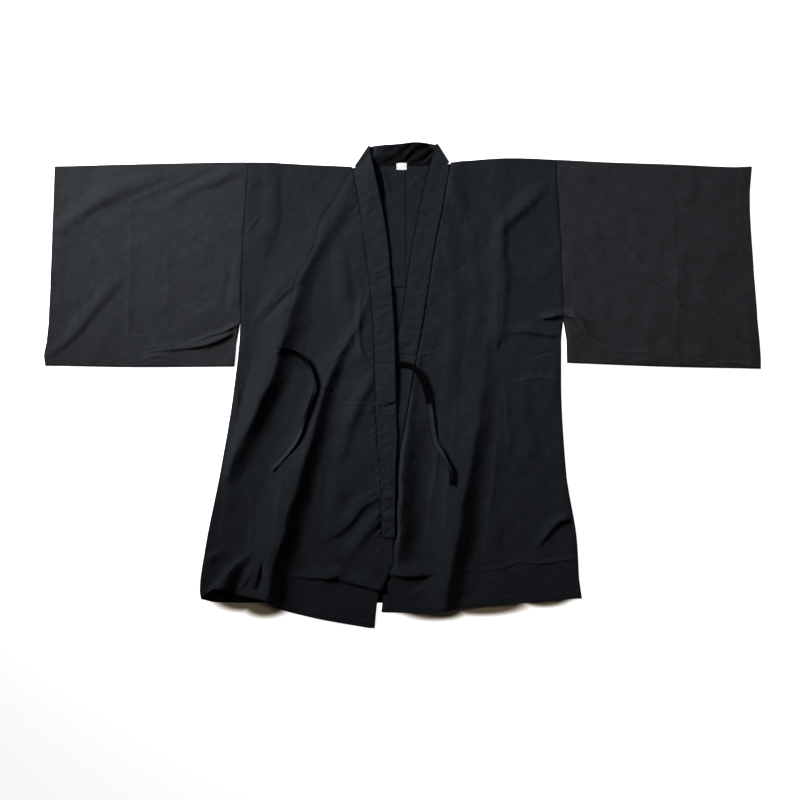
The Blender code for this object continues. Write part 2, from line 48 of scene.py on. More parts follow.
BAND_CLOTH = 2.8
TIE_CLOTH = 1.4
LABEL_CLOTH = 0.5
LINING_CLOTH = 0.8
COLLAR_WIDTH = 45
BAND_WIDTH = 42
BAND_GAP = 0.5
SEAM_LAP = 1.2

# Heights of the middle of each layer where the jacket lies quite flat, mm
BACK_LAYER = 0.6
UPPER_LAYER = 2.1
LINING_LAYER = 2.0
BAND_LIFT = 0.3
COLLAR_LEVEL = 1.5
LABEL_LEVEL = 4.2
LABEL_WAVE = 0.35

# Lowest that the upper layer sinks, so that it stays clear of the back
LOWEST_UPPER = BACK_LAYER + CLOTH + 0.1

# Length of the plan on each kind of edge over which folds die out, mm, main folds first
SEWN_SIDE_REACH = 20
SHOULDER_REACH = 26
SLEEVE_EDGE_REACH = 18
FRONT_SMALL_REACH = 14
SLEEVE_SMALL_REACH = 8
SLEEVE_TOP_SMALL_REACH = 12
BESIDE_BAND_REACH = 10
SEAM_PUCKER_START = 4
SEAM_PUCKER_REACH = 20
ARMHOLE_END = 122
ARMHOLE_BLEND = 26

# Where seams cross the band and where it ends, mm up the plan
BAND_JOIN = {"right": 45, "left": 61}
BAND_END = {"right": -289, "left": -266}
CENTRE_BACK = -6.7
LINING_CENTRE = 6.7

# Cloth that is turned up and stitched, and how much it thickens the edge, mm
HEM_DEPTH = 15
CUFF_DEPTH = 25
TURNED_UP = 0.5
TURNED_SLOPE = 1.6
LINING_TURNED = 0.35
LINING_SLOPE = 1.4
SEAM_DIP = 0.9
SEAM_DIP_REACH = 3.5

# Rough sizes of the pieces, from which the number of points on each is worked out, mm
FRONT_WIDTH = 330
BACK_LENGTH = 840
SLEEVE_LENGTH = 375
SLEEVE_DEPTH = 385

# Spacing of the meshes' points, mm, and closer spacing beside edges
FRONT_STEP = 2.7
FRONT_EDGE_STEP = 2.2
SLEEVE_STEP = 2.6
SLEEVE_EDGE_STEP = 2
BACK_STEP = 36
BAND_STEP = 2.4
BAND_CROSS_STEP = 2.6
TIE_CROSS_STEP = 1.6
LABEL_CROSS_STEP = 1.2

# Numbers of points, and the share of a sleeve's depth below which its rows are closer
TURN_STEPS = 5
COLLAR_TURN_STEPS = 7
PATH_STEPS = 6
EDGE_COLUMNS = 8
NECK_COLUMNS = 24
NECK_ROWS = 56
LINING_COLUMNS = 22
LINING_ROWS = 78
LABEL_ROWS = 14
CLOSE_FROM = 0.7
CLOSE_STEP = 0.65 * SLEEVE_STEP

# How far folds stray from their tables, mm, and what the uneven waves start from
WANDER = 1.4
BAND_UNEVEN = 0.3
PUCKER_STRENGTH = 1.8
FRONT_SEED = {"right": 3, "left": 8}
SLEEVE_SEED = {"right": 21, "left": 34}
BAND_SEED = {"right": 51, "left": 52}

# Angles past which an edge of a mesh looks sharp, degrees
SHARP_WALL = 50
SHARP_BAND = 60

# Way out from the middle on each side
SIGN = {"right": -1, "left": 1}

Bend = namedtuple("Bend", "x y")
Level = namedtuple("Level", "y z")
Gap = namedtuple("Gap", "y gap")
Station = namedtuple("Station", "x y rise left right")
Section = namedtuple("Section", "seam free tilt")
Route = namedtuple("Route", "x y roll shade")
Cotton = namedtuple("Cotton", "colour mottle slub rub sheen roughness specular")
Patch = namedtuple("Patch", "x y width length")
Pucker = namedtuple("Pucker", "y rise reach start end")
Lamp = namedtuple("Lamp", "place aim size strength spread")
Stitch = namedtuple("Stitch", "slot pitch length thickness")


def named(kind, table):
    """Table whose rows have the kind's named columns."""
    if isinstance(table, dict):
        return {name: named(kind, rows) for name, rows in table.items()}
    return [kind(*row) for row in table]


# Outlines of the laid jacket, one row at each bend
SIDE_EDGE = named(Bend, {
    "right": [
        (-295, 427), (-308, 215), (-310, 110), (-322, -9), (-347, -161), (-377, -314), (-387, -391),
        (-384, -410)],
    "left": [
        (293, 431), (305, 215), (307, 125), (303, 106), (303, 11), (312, -161), (333, -295),
        (339, -391), (343, -408)],
})
TOP_EDGE = named(Bend, {
    "right": [(-96, 415), (-158, 419), (-295, 425), (-480, 422), (-664, 417)],
    "left": [
        (92, 423), (117, 427), (209, 433), (293, 430), (394, 425), (515, 421), (641, 416), (667, 417)],
})
FRONT_HEM = named(Bend, {
    "right": [
        (-384, -406), (-354, -387), (-314, -400), (-262, -409), (-244, -423), (-173, -443), (-53, -465)],
    "left": [(-41, -433), (49, -435), (114, -425), (177, -419), (240, -415), (343, -406)],
})
BACK_HEM = named(Bend, [(-384, -408), (-354, -414), (0, -415), (343, -407)])
NECK_SEAM = named(Bend, [(-96, 415), (-62, 419), (-31, 421), (30, 421), (60, 422), (92, 423)])
COLLAR_TOP = named(Bend, [(-64, 457), (-9, 459), (24, 463), (66, 461)])

# Line where the band is sewn on, and below the band's end the stitched front edge
BAND_SEAM = named(Bend, {
    "right": [
        (-96, 417), (-87, 373), (-72, 268), (-58, 148), (-53, 64), (-51, -32), (-47, -110), (-42, -158),
        (-39.5, -291), (-38, -345), (-46, -385), (-60, -410), (-63, -464)],
    "left": [
        (91.5, 424), (79, 352), (62, 268), (47, 173), (37, 110), (24, 39), (12, -32), (1, -95),
        (-9, -150), (-22, -266), (-41, -433)],
})
BAND_FREE = named(Bend, {
    "right": [
        (-62, 455), (-54, 417), (-35, 328), (-26, 268), (-20, 190), (-14, 96), (-11, -32), (-9, -95),
        (-12, -158), (-14, -289)],
    "left": [
        (64, 458), (56, 436), (43, 391), (24, 301), (9, 217), (3, 167), (-5, 121), (-21, 39),
        (-37, -32), (-53, -95), (-66, -266)],
})
FRONT_EDGE = named(Bend, [
    (-18, -291), (-18, -337), (-26, -358), (-36, -380), (-45, -398), (-49, -420), (-53, -464)])
CUFF_EDGE = named(Bend, {
    "right": [(-664, 419), (-669, 274), (-677, 98), (-684, 55), (-682, 38)],
    "left": [(667, 419), (663, 360), (671, 215), (677, 133), (684, 45), (684, 32)],
})
SLEEVE_LOW = named(Bend, {
    "right": [(-684, 39), (-500, 36), (-322, 37)],
    "left": [(314, 44), (526, 36), (684, 33)],
})
SLEEVE_GAP = named(Gap, {
    "right": [(37, 4.5), (110, 5.5), (124, -0.7), (431, -0.7)],
    "left": [(44, 11), (70, 11), (112, 6), (124, -0.7), (431, -0.7)],
})

# Height of the upper layer along the band's seam, which the other front lies under or over
SEAM_LEVEL = named(Level, {
    "right": [
        (417, 4.4), (373, 4.6), (226, 4.4), (110, 5.6), (64, 6.8), (-32, 7.4), (-95, 6.8), (-289, 6.8),
        (-345, 6.2), (-380, 4.8), (-415, 3), (-462, 2.1)],
    "left": [(425, 4.6), (373, 4.6), (226, 4), (110, 2.7), (61, 2.4), (-433, 2.1)],
})
SEAM_LEVEL_REACH = {"right": 84, "left": 50}

# Small puckers of the fronts along the band's seam: how high they are up the plan
SEAM_PUCKERS = named(Level, {
    "right": [(410, 0.5), (300, 0.3), (60, 0.4), (-60, 0.9), (-140, 1.1), (-290, 1.2), (-330, 0.6)],
    "left": [(410, 0.3), (120, 0.3), (70, 0.7), (0, 0.3)],
})

# Long rolls and swells of the fronts, followed from the neck downwards. Each station has its
# place, its rise, and the widths of the left and right flanks for someone who walks along it
ROLLS = named(Station, {
    "right": {
        "shoulder roll": [
            (-90, 404, 1, 22, 36), (-122, 331, 3.5, 32, 54), (-149, 288, 5.5, 34, 66),
            (-186, 222, 8.5, 38, 76), (-213, 145, 12.5, 42, 80), (-231, 74, 16, 43, 70),
            (-255, 5, 18.5, 43, 60), (-281, -51, 18.5, 45, 50), (-308, -108, 15.5, 45, 44),
            (-336, -165, 10.5, 42, 36)],
        "hem roll": [
            (-60, 182, 1, 9, 12), (-74, 146, 2.2, 13, 18), (-88, 112, 3.6, 16, 24),
            (-105, 82, 5.6, 20, 30), (-124, 50, 8, 25, 36), (-141, 16, 10.5, 29, 42),
            (-164, -60, 14, 38, 54), (-192, -155, 18, 44, 74), (-222, -255, 21, 46, 92),
            (-248, -349, 23.5, 46, 92), (-262, -418, 24.5, 44, 74)],
    },
    "left": {
        "hem roll": [
            (161, 62, 1.5, 24, 50), (154, 20, 5, 32, 64), (143, -62, 9.5, 40, 76),
            (130, -135, 13.5, 44, 86), (113, -223, 17, 46, 92), (98, -318, 19, 46, 86),
            (85, -390, 17, 38, 66), (78, -438, 9, 26, 54)],
        "swell beside the band": [
            (14, -40, 2, 44, 20), (9, -85, 7, 50, 18), (2, -130, 11, 56, 14), (-3, -180, 15, 54, 12),
            (-5, -260, 15, 52, 12), (-9, -318, 10, 48, 12), (-13, -352, 1.5, 40, 12)],
    },
})

# Main folds of the fronts and sleeves, followed from the neck or armhole outwards
FOLDS = named(Station, {
    "right": {
        "upper front fold": [
            (-42, -214, 2.5, 6, 18), (-62, -224, 4.5, 8, 24), (-80, -236, 5.5, 10, 30),
            (-104, -262, 5, 12, 32), (-129, -283, 3.6, 12, 30), (-166, -303, 1, 12, 22)],
        "lower front fold": [
            (-44, -247, 3.5, 12, 14), (-66, -274, 5.5, 17, 22), (-84, -297, 4.5, 18, 24),
            (-100, -318, 2.6, 18, 24), (-114, -336, 0.8, 14, 18)],
        "hem arch": [
            (-287, -314, 2, 12, 10), (-310, -338, 7, 18, 12), (-333, -360, 13, 26, 17),
            (-354, -396, 19, 36, 24)],
        "hem sag": [
            (-210, -361, 1.5, 14, 4), (-165, -367, 6, 24, 5), (-135, -369, 7.5, 26, 5),
            (-126, -363, 8, 26, 5), (-113, -371, 7.5, 26, 5), (-78, -380, 9, 28, 5.5),
            (-47, -388, 8.5, 24, 6)],
        "underarm fold": [
            (-318, 101, 5, 4, 13), (-345, 90, 6.4, 4.5, 15), (-371, 79, 6.8, 4.5, 16),
            (-396, 73, 6, 4.5, 16), (-430, 71, 3.6, 5, 14), (-482, 66, 1, 7, 12)],
        "sleeve wave": [
            (-440, 404, 1.4, 20, 26), (-500, 386, 3.6, 22, 30), (-560, 362, 4.8, 22, 32),
            (-612, 332, 4.2, 20, 30), (-655, 296, 2, 18, 24)],
    },
    "left": {
        "low side fold": [
            (339, -256, 7, 5, 18), (314, -257, 7, 5, 20), (298, -262, 6.5, 5, 20),
            (282, -278, 5, 5.5, 20), (266, -294, 3, 6, 16), (256, -304, 1, 7, 12)],
        "ridge beside the band": [
            (34, 74, 1, 12, 12), (25, 34, 2.4, 16, 12), (16, -20, 3, 18, 12), (11, -62, 2.4, 17, 12),
            (6, -100, 1, 14, 10)],
        "hem sag": [
            (-30, -357, 1.5, 26, 6), (-12, -360, 8, 28, 6), (22, -361, 10.5, 30, 5),
            (44, -360, 6, 28, 5), (60, -357, 1, 22, 5)],
        "chest fold": [
            (187, 340, 1.5, 14, 24), (190, 270, 3.5, 18, 30), (192, 190, 3.5, 20, 34),
            (184, 90, 3, 18, 34)],
        "shoulder wave": [
            (268, 378, 2, 16, 26), (230, 342, 6, 20, 28), (200, 312, 6, 20, 28), (182, 290, 2, 18, 24)],
        "waist fold": [(196, 104, 2, 16, 6), (240, 102, 4.4, 20, 6), (290, 94, 3.6, 18, 6)],
        "underarm fold": [
            (262, 126, 1.6, 14, 3), (285, 131, 8.5, 16, 4), (318, 131, 9.5, 18, 4.5),
            (336, 122, 8, 18, 5), (358, 101, 4, 18, 8), (400, 78, 1, 16, 10)],
    },
})

# Soft waves and hollows of the same cloth, with the same columns
WAVES = named(Station, {
    "right": {
        "fold beside the band": [
            (-79, 176, 0.8, 7, 6), (-84, 120, 2, 8, 8), (-80, 68, 2.4, 7, 9), (-70, 47, 0.8, 5, 6)],
        "soft fold under the waist": [
            (-58, 20, 2, 16, 16), (-91, -47, 5, 20, 24), (-121, -130, 2.4, 20, 26)],
        "broad swell by the roll": [
            (-118, -150, 0.6, 26, 26), (-128, -215, 2.4, 28, 28), (-132, -270, 0.6, 26, 26)],
        "broad swell on the chest": [
            (-116, 262, 1, 18, 26), (-112, 196, 3, 20, 30), (-104, 140, 1, 18, 26)],
        "hollow above the tie": [
            (-160, 150, -0.8, 24, 22), (-166, 90, -2.4, 26, 24), (-184, 30, -1, 22, 22)],
        "corner fold": [(-282, -346, 2, 8, 6), (-294, -362, 4, 9, 7), (-312, -384, 3, 9, 7)],
        "pucker over the slit": [
            (-388, -326, 5, 8, 16), (-366, -324, 4, 8, 18), (-340, -316, 1, 9, 16)],
        "pressed line": [(-286, -190, 0.6, 10, 4), (-290, -260, 1.1, 10, 4), (-295, -335, 0.6, 8, 4)],
        "pressed line nearer the roll": [
            (-230, -171, 0.6, 10, 5), (-240, -250, 1.1, 10, 5), (-253, -331, 0.6, 8, 5)],
        "fine ridge on the front": [
            (-150, -150, 0.4, 7, 7), (-160, -210, 1.1, 8, 8), (-166, -268, 0.4, 7, 7)],
        "soft hollow by the side": [
            (-340, -190, -1, 16, 12), (-352, -240, -2.2, 16, 12), (-360, -290, -1, 14, 12)],
        "upper shoulder dip": [
            (-226, 410, -0.8, 16, 22), (-221, 335, -1.6, 18, 26), (-228, 262, -1.2, 18, 26)],
        "shoulder to armhole wave": [
            (-222, 200, 1, 14, 14), (-250, 168, 2.2, 12, 14), (-284, 122, 1.2, 12, 14)],
        "side hollow": [(-292, 80, -0.8, 14, 14), (-300, 20, -1.3, 14, 14), (-318, -70, -1.2, 12, 12)],
        "sleeve second wave": [
            (-400, 397, 0.8, 10, 12), (-463, 376, 1.8, 10, 12), (-516, 352, 1, 10, 12)],
        "sleeve top wave": [
            (-305, 414, 1.5, 18, 18), (-350, 396, 3.8, 18, 20), (-384, 382, 3.6, 18, 20),
            (-432, 358, 1.6, 16, 20)],
        "sleeve low wave": [
            (-530, 210, 1, 16, 20), (-566, 172, 3.2, 16, 22), (-606, 128, 3.8, 16, 22),
            (-640, 86, 3.2, 14, 20), (-672, 64, 2.2, 12, 18)],
        "sleeve lower bump": [(-496, 52, 1, 7, 8), (-462, 57, 2, 7, 8), (-432, 54, 1, 7, 8)],
        "sleeve side dip": [
            (-322, 262, -0.9, 8, 12), (-330, 208, -1.4, 8, 14), (-336, 150, -0.8, 8, 14)],
        "ridge on the shoulder": [
            (-252, 418, 1.4, 30, 20), (-248, 380, 3.4, 32, 26), (-251, 330, 3.6, 32, 26),
            (-264, 276, 1.6, 28, 22)],
        "wrinkle under the shoulder": [
            (-202, 188, -1, 12, 7), (-222, 168, -3.4, 15, 9), (-246, 144, -3, 15, 9),
            (-262, 128, -1, 12, 7)],
        "seam allowance by the armhole": [
            (-290, 418, 0.3, 8, 7), (-294, 333, 0.4, 9, 7), (-296, 230, 0.4, 9, 7),
            (-301, 150, 0.3, 8, 7)],
        "light edge of the side": [
            (-317, -18, 1.6, 11, 8), (-324, -60, 2.4, 12, 8), (-334, -100, 1.6, 10, 8)],
        "dark hollow by the side": [
            (-303, 26, -2, 12, 12), (-302, -6, -3.6, 14, 14), (-306, -40, -2, 12, 12)],
    },
    "left": {
        "fine ridge by the roll": [
            (74, -60, 0.5, 7, 7), (64, -150, 1.3, 8, 8), (54, -230, 1.2, 8, 8), (46, -310, 0.5, 7, 7)],
        "fine ridge on the roll": [
            (104, 10, 0.5, 8, 7), (97, -110, 1.1, 9, 8), (84, -220, 1.2, 8, 8), (74, -310, 0.5, 7, 7)],
        "fine ridge past the roll": [
            (184, -80, 0.5, 7, 7), (174, -170, 1.2, 8, 8), (164, -250, 1.1, 8, 8),
            (156, -320, 0.5, 7, 7)],
        "pressed chest line": [(188, 345, 0.5, 9, 20), (190, 262, 1, 10, 22), (192, 186, 0.5, 9, 18)],
        "second chest line": [(181, 180, 0.8, 5, 12), (180, 70, 0.8, 5, 12)],
        "line beside the hem roll": [
            (196, 4, 0.7, 12, 5), (200, -70, 1, 12, 6), (204, -140, 0.6, 12, 6)],
        "soft side dip": [
            (262, -30, -0.9, 12, 14), (268, -100, -1.3, 12, 14), (276, -170, -0.7, 12, 14)],
        "long soft wave": [
            (84, 330, 0.6, 20, 20), (98, 180, 1.3, 24, 22), (92, 40, 1.6, 24, 22),
            (78, -90, 1.4, 22, 20), (58, -200, 0.8, 20, 20)],
        "sleeve long wave": [
            (404, 290, 0.8, 14, 12), (438, 251, 2, 16, 12), (467, 221, 3, 18, 12),
            (500, 190, 3, 18, 12), (530, 158, 1.6, 14, 12)],
        "sleeve short wave": [
            (560, 330, 0.4, 12, 10), (587, 306, 1.2, 12, 10), (612, 284, 0.5, 12, 10)],
        "sleeve low wave": [
            (562, 182, 0.6, 14, 12), (590, 145, 1.8, 16, 12), (622, 112, 2.2, 16, 12),
            (648, 84, 0.8, 14, 12)],
        "seam allowance by the armhole": [
            (287, 422, 0.2, 7, 8), (292, 333, 0.3, 7, 9), (297, 230, 0.3, 7, 9), (300, 150, 0.2, 7, 8)],
        "second wave beside the long one": [
            (130, 300, 0.5, 16, 18), (140, 200, 1.1, 18, 20), (138, 100, 1.1, 18, 20),
            (120, 20, 0.5, 16, 16)],
        "broad swell on the chest": [
            (96, 396, 1, 22, 26), (112, 350, 2.6, 24, 30), (118, 300, 1, 22, 26)],
        "swell under the waist": [
            (232, -6, 0.8, 24, 24), (236, -60, 2.2, 26, 26), (240, -120, 0.8, 24, 24)],
        "swell by the hem": [
            (160, -196, 0.6, 22, 24), (176, -260, 2, 24, 26), (170, -320, 0.6, 22, 24)],
    },
})

# Sharp creases and pressed lines, with the same columns
CREASES = named(Station, {
    "right": {
        "crease along the shoulder roll": [
            (-102, 402, -0.8, 9, 5), (-130, 357, -1.3, 11, 5), (-154, 316, -1.4, 12, 6),
            (-168, 266, -1.3, 12, 6), (-197, 210, -1.2, 12, 6), (-210, 168, -1, 11, 6),
            (-226, 98, -0.6, 9, 6)],
        "crease along the hem roll": [
            (-112, 62, -0.5, 9, 5), (-146, 26, -0.9, 10, 5), (-175, -40, -0.9, 10, 5),
            (-188, -95, -0.6, 10, 5), (-206, -158, -0.3, 8, 5)],
        "pinch below it": [(-98, 78, 1, 6, 6), (-86, 58, 2.4, 6, 5), (-72, 47, 1, 5, 5)],
        "mark across the hem roll": [
            (-145, -8, -3, 4, 4), (-134, -11, -6.5, 5, 5), (-120, -16, -4, 4, 4)],
        "crease at the waist": [
            (-130, -31, -1.6, 4, 3.5), (-88, -29, -2.2, 4, 3.5), (-52, -31, -1.8, 4, 3.5)],
        "lower crease at the waist": [
            (-126, -45, -1, 4, 3.5), (-84, -38, -1.8, 4, 3.5), (-52, -42, -1.2, 4, 3.5)],
        "small pucker by the band": [
            (-50, -196, 1.6, 5, 6), (-62, -207, 2, 5, 7), (-84, -217, 1, 5, 7)],
        "pucker under it": [(-44, -226, 1.8, 4, 4), (-58, -231, 1.6, 4, 5), (-74, -240, 0.6, 4, 5)],
        "corner wedge": [(-262, -335, -3, 7, 5), (-268, -360, -9, 15, 9), (-277, -388, -10, 24, 14)],
        "crease to the side": [(-316, -340, 2, 5, 4), (-338, -362, 2.4, 5, 4), (-364, -382, 1.6, 6, 4)],
        "small side crease": [(-316, 37, -0.8, 4, 5), (-292, 35, -1.2, 4, 5), (-266, 19, -1, 4, 5)],
        "chevron by the armhole": [
            (-303, 286, 0.6, 5, 5), (-288, 306, 1.2, 5, 5), (-268, 328, 0.8, 5, 5)],
        "hem pucker": [(-166, -386, 0.8, 10, 6), (-148, -374, 1.8, 10, 6), (-136, -360, 1.4, 8, 6)],
        "sleeve pressed line": [
            (-519, 340, 0.5, 14, 10), (-520, 240, 1.1, 18, 11), (-524, 144, 1.3, 18, 11),
            (-526, 62, 0.9, 16, 10)],
        "sleeve second pressed line": [(-450, 250, 0.5, 16, 5), (-450, 92, 0.5, 16, 5)],
        "sleeve upper armpit crease": [
            (-316, 113, 4, 4.5, 9), (-340, 103, 5.4, 4.5, 10), (-368, 95, 4.4, 4.5, 10),
            (-400, 81, 1.4, 4.5, 9)],
        "sleeve fold end": [(-420, 84, 0.8, 4, 8), (-450, 78, 1.4, 4, 9), (-490, 70, 0.6, 4, 8)],
        "sleeve low armpit crease": [(-350, 84, 1, 4, 6), (-376, 70, 1.4, 4, 6), (-400, 62, 0.8, 4, 6)],
        "sleeve lower edge crease": [
            (-526, 61, 0.9, 5, 5), (-492, 61, 1.1, 5, 5), (-458, 66, 0.9, 5, 5)],
        "sleeve small crease": [(-410, 146, 0.8, 6, 9), (-373, 172, 1.6, 6, 10)],
        "sleeve cuff crease": [(-672, 216, 1, 4, 4), (-652, 225, 0.8, 4, 4)],
    },
    "left": {
        "crease under the arm": [(200, 100, 1, 5, 4), (244, 96, 1.8, 5, 4), (292, 98, 1.4, 5, 4)],
        "dark crease at the waist": [
            (190, 84, -2, 6, 6), (205, 66, -5, 8, 6), (230, 56, -4.4, 7, 6), (266, 60, -3, 5, 5),
            (300, 68, -1.4, 5, 5)],
        "light crease at the waist": [
            (208, 4, 1.4, 8, 4), (236, 12, 2, 9, 4), (262, 16, 2.2, 9, 4), (296, 10, 1.8, 8, 4)],
        "triangle under the arm": [(240, 58, 0.6, 7, 6), (268, 30, 1, 8, 7)],
        "pressed hem line": [(222, -240, 0.6, 8, 8), (221, -349, 0.7, 8, 8)],
        "hem crease": [
            (112, -353, 0.8, 8, 3.5), (186, -347, 2, 9, 3.5), (226, -341, 2.6, 9, 3.5),
            (263, -340, 2.2, 9, 3.5), (333, -330, 2.6, 9, 3.5)],
        "hem crease notch": [(203, -352, -2, 4, 4), (217, -344, -4, 6, 4), (232, -345, -2.4, 4, 4)],
        "corner notch": [(326, -330, 1.8, 5, 5), (338, -340, 1.6, 5, 5)],
        "hem corner fold": [(8, -416, 1, 6, 5), (24, -398, 2.2, 7, 6), (42, -386, 1.4, 7, 6)],
        "pucker at the band join": [(30, 58, 1.4, 5, 4), (48, 62, 1.2, 5, 4), (88, 74, 0.6, 5, 4)],
        "second pucker at the band join": [(32, 46, 1.2, 4, 4), (52, 53, 1, 4, 4), (84, 62, 0.4, 4, 4)],
        "sleeve pressed line": [
            (517, 410, 0.4, 5, 14), (520, 278, 0.7, 5, 16), (524, 163, 0.8, 5, 16),
            (526, 42, 0.9, 5, 12)],
        "sleeve crease by the seam": [
            (308, 250, 0.8, 8, 5), (324, 211, 1.2, 8, 5), (331, 174, 1, 7, 5), (321, 132, 0.6, 6, 5)],
        "sleeve bend in the wave": [
            (520, 168, 1, 8, 6), (530, 146, 1.6, 7, 7), (548, 128, 1.4, 7, 6), (562, 112, 0.6, 7, 6)],
        "sleeve corner crease": [(612, 44, 0.8, 5, 4), (650, 42, 1.4, 5, 4)],
        "sleeve under seam crease": [(380, 78, 1, 10, 8), (430, 64, 1.4, 10, 8), (470, 62, 0.6, 10, 8)],
    },
})

# Cross sections of the band: how far up its seam and its free edge each one ends, and how
# much higher the free edge lies than the seam
BAND_SECTIONS = named(Section, {
    "right": [
        (-289, -289, 2.5), (-223, -223, 2.6), (-119, -119, 2.4), (-55, -55, 2.4), (-28, -28, 3),
        (0, 0, 4.2), (30, 30, 4.8), (62, 62, 2.2), (112, 113, 0.8), (250, 254, 0.4), (310, 318, 0.8),
        (340, 354, 3), (362, 382, 7), (385, 408, 8), (400, 428, 5.5), (411, 447, 2.4)],
    "left": [
        (-266, -266, 0), (-130, -130, 0), (-95, -95, -1), (-32, -32, -2), (20, 20, -2.4),
        (62, 62, -1.2), (112, 113, 0), (226, 232, 0.2), (300, 310, 0.3), (350, 364, 0.6),
        (380, 400, 1.2), (400, 427, 1.6), (412, 447, 1.8)],
})
BACK_SECTIONS = named(Section, [
    (-72, -53, 1), (-58, -44, 6), (-45, -34, 12), (-15, -12, 15), (15, 13, 15), (45, 35, 12),
    (60, 44, 6), (70, 50, 1)])
COLLAR_FOLD = {
    "right": {"seam": Bend(-88.5, 416.4), "free": Bend(-61.5, 455.4)},
    "left": {"seam": Bend(86.4, 424), "free": Bend(63.4, 459.6)},
}
FOLD_LEVEL = {"seam": 6.2, "free": 8}

# Puckers and creases that cross the band: place along the seam, height, half length along the
# band, and how far across it from seam to free edge they start and end
BAND_PUCKERS = named(Pucker, {
    "right": [
        (352, 0.5, 6, 0.1, 0.8), (322, -0.5, 5, 0.2, 0.7), (262, -0.4, 5, 0.1, 0.6),
        (220, 0.5, 6, 0.2, 1), (206, -0.6, 5, 0.3, 1), (178, 0.4, 5, 0.0, 0.5),
        (150, -0.5, 4, 0.2, 0.9), (128, 0.4, 5, 0, 0.6), (96, -0.5, 4, 0.1, 0.5),
        (70, 0.5, 5, 0.2, 0.8), (30, 0.7, 4, 0.2, 0.6), (12, -0.6, 4, 0, 0.5), (-10, 0.6, 4, 0, 0.6),
        (-27, 1.4, 5, 0.1, 1), (-38, -1.6, 5, 0.1, 1), (-52, 0.8, 5, 0.3, 0.9), (-70, -0.6, 4, 0, 0.6),
        (-92, 0.6, 5, 0, 0.7), (-118, -0.7, 5, 0.1, 0.6), (-136, 0.7, 5, 0, 0.7),
        (-160, -0.7, 5, 0, 0.6), (-182, 0.7, 5, 0, 0.8), (-204, -0.8, 5, 0, 0.7), (-222, 1, 5, 0, 0.8),
        (-238, -1, 5, 0, 0.7), (-256, 0.8, 5, 0.1, 0.8), (-276, -0.8, 4, 0.2, 1)],
    "left": [
        (372, -0.4, 6, 0.2, 0.8), (330, 0.4, 7, 0.3, 1), (284, 0.6, 6, 0, 0.7), (272, -0.5, 6, 0, 0.7),
        (214, 0.4, 8, 0.3, 1), (168, -0.4, 6, 0, 0.6), (120, 0.4, 7, 0.2, 0.8), (84, 0.5, 4, 0.1, 0.9),
        (72, -0.6, 4, 0.2, 1), (50, 0.6, 4, 0.2, 1), (36, -0.6, 4, 0, 0.8), (10, 0.5, 5, 0.1, 0.8)],
})

LINING_TOP = Bend(70, 420.5)
LINING_BOTTOM = Bend(45, 188)
LINING_HEM = 7
LINING_FOLDS = named(Station, {
    "hollow": [(-46, 412, -1, 5, 9), (-38, 388, -1.6, 5, 9), (-32, 362, -0.6, 4, 7)],
    "ridge beside it": [(-40, 412, 1, 7, 5), (-32, 386, 2.2, 8, 5), (-27, 356, 1, 6, 4)],
    "slanting wrinkle": [(40, 404, 0.8, 7, 7), (22, 388, 1.1, 7, 7), (10, 378, 0.4, 6, 6)],
})
LABEL_CENTRE = Bend(-1.5, 418)
LABEL_SIZE = Bend(19.5, 13.2)

# Way of each tie along the front it lies on. Roll turns the tape from flat to its edge, degrees.
# Shade is how much painted shade darkens the tape's inner face where it is turned up.
TIE_ROUTES = named(Route, {
    "right": [
        (-242, 66, 10, 0), (-219, 66, 40, 0.8), (-192, 54, 40, 1), (-173, 26, 62, 0.3),
        (-167, 1, 70, 0.3), (-173, -24, 50, 1), (-184, -56, 40, 0.7), (-198, -96, 14, 0),
        (-219, -127, 8, 0), (-251, -161, 4, 0)],
    "left": [
        (-14, 42, 4, 1), (13, 38, 20, 1), (30, 24, 25, 1), (43, -3, 22, 1), (50, -30, 14, 1),
        (53, -44, 6, 0), (62, -104, 6, 0), (78, -133, 30, 0.1), (91, -161, 40, 0.5),
        (93, -188, 30, 0.9)],
})
TIE_WIDTH = 11
TIE_CLEARANCE = 1.5
TIE_SHADE = 4.5
TIE_EDGE_SHADE = 2.4
TIE_STEPS = 8

# Camera straight above the jacket, with the photo's framing
VIEW_CENTRE = Bend(-4.8, -27.7)
VIEW_WIDTH = 1528
VIEW_LENS = 85
SENSOR_WIDTH = 36

# Linear colours and finish of each cloth, with the strength of its painted light and shade.
# The sleeves' cotton is painted lighter than the body's, for the stronger light that falls on the
# sleeves.
COTTONS = {
    "tie_cotton": Cotton((0.0240, 0.0270, 0.0310), 0.18, 0.26, 0.30, 0, 0.9, 0.01),
    "body_cotton": Cotton((0.0137, 0.0159, 0.0190), 0.36, 0.24, 0.20, 0.010, 0.86, 0.03),
    "sleeve_cotton": Cotton((0.0209, 0.0229, 0.0255), 0.32, 0.26, 0.20, 0.012, 0.86, 0.03),
    "band_cotton": Cotton((0.0143, 0.0166, 0.0197), 0.28, 0.24, 0.36, 0.012, 0.84, 0.03),
    "lining_cotton": Cotton((0.0128, 0.0149, 0.0175), 0.24, 0.20, 0.15, 0.01, 0.86, 0.03),
}
SHEEN_ROUGHNESS = 0.45
SHEEN_TINT = (0.75, 0.82, 1, 1)
THREAD_COLOUR = (0.0095, 0.0105, 0.0125)
LABEL_COLOUR = (0.86, 0.86, 0.84)
LINT_COLOUR = (0.16, 0.16, 0.16)

# How much painted highlight cloth gets on its crests, and how much painted shade by its edges and where
# it is turned, over how many mm. Inside the hem, the painted shade starts at a place up the plan
PAINTED_HIGHLIGHT_GAIN = 1.2
PAINTED_HIGHLIGHT_START = 0.2
DARKEST = 0.06
EDGE_SHADE = 3.2
EDGE_WIDTH = 3
RIM_SHADE = 2
END_SHADE = 2.5
NECK_SHADE = 1.7
INSIDE_SHADE = 1.8
INSIDE_FROM = -370
INSIDE_REACH = 30
# How much darker a sleeve gets towards the armhole
SLEEVE_DARKER_INWARD = 0.08
FREE_SHADE = 2.6
FREE_WIDTH = 3.2

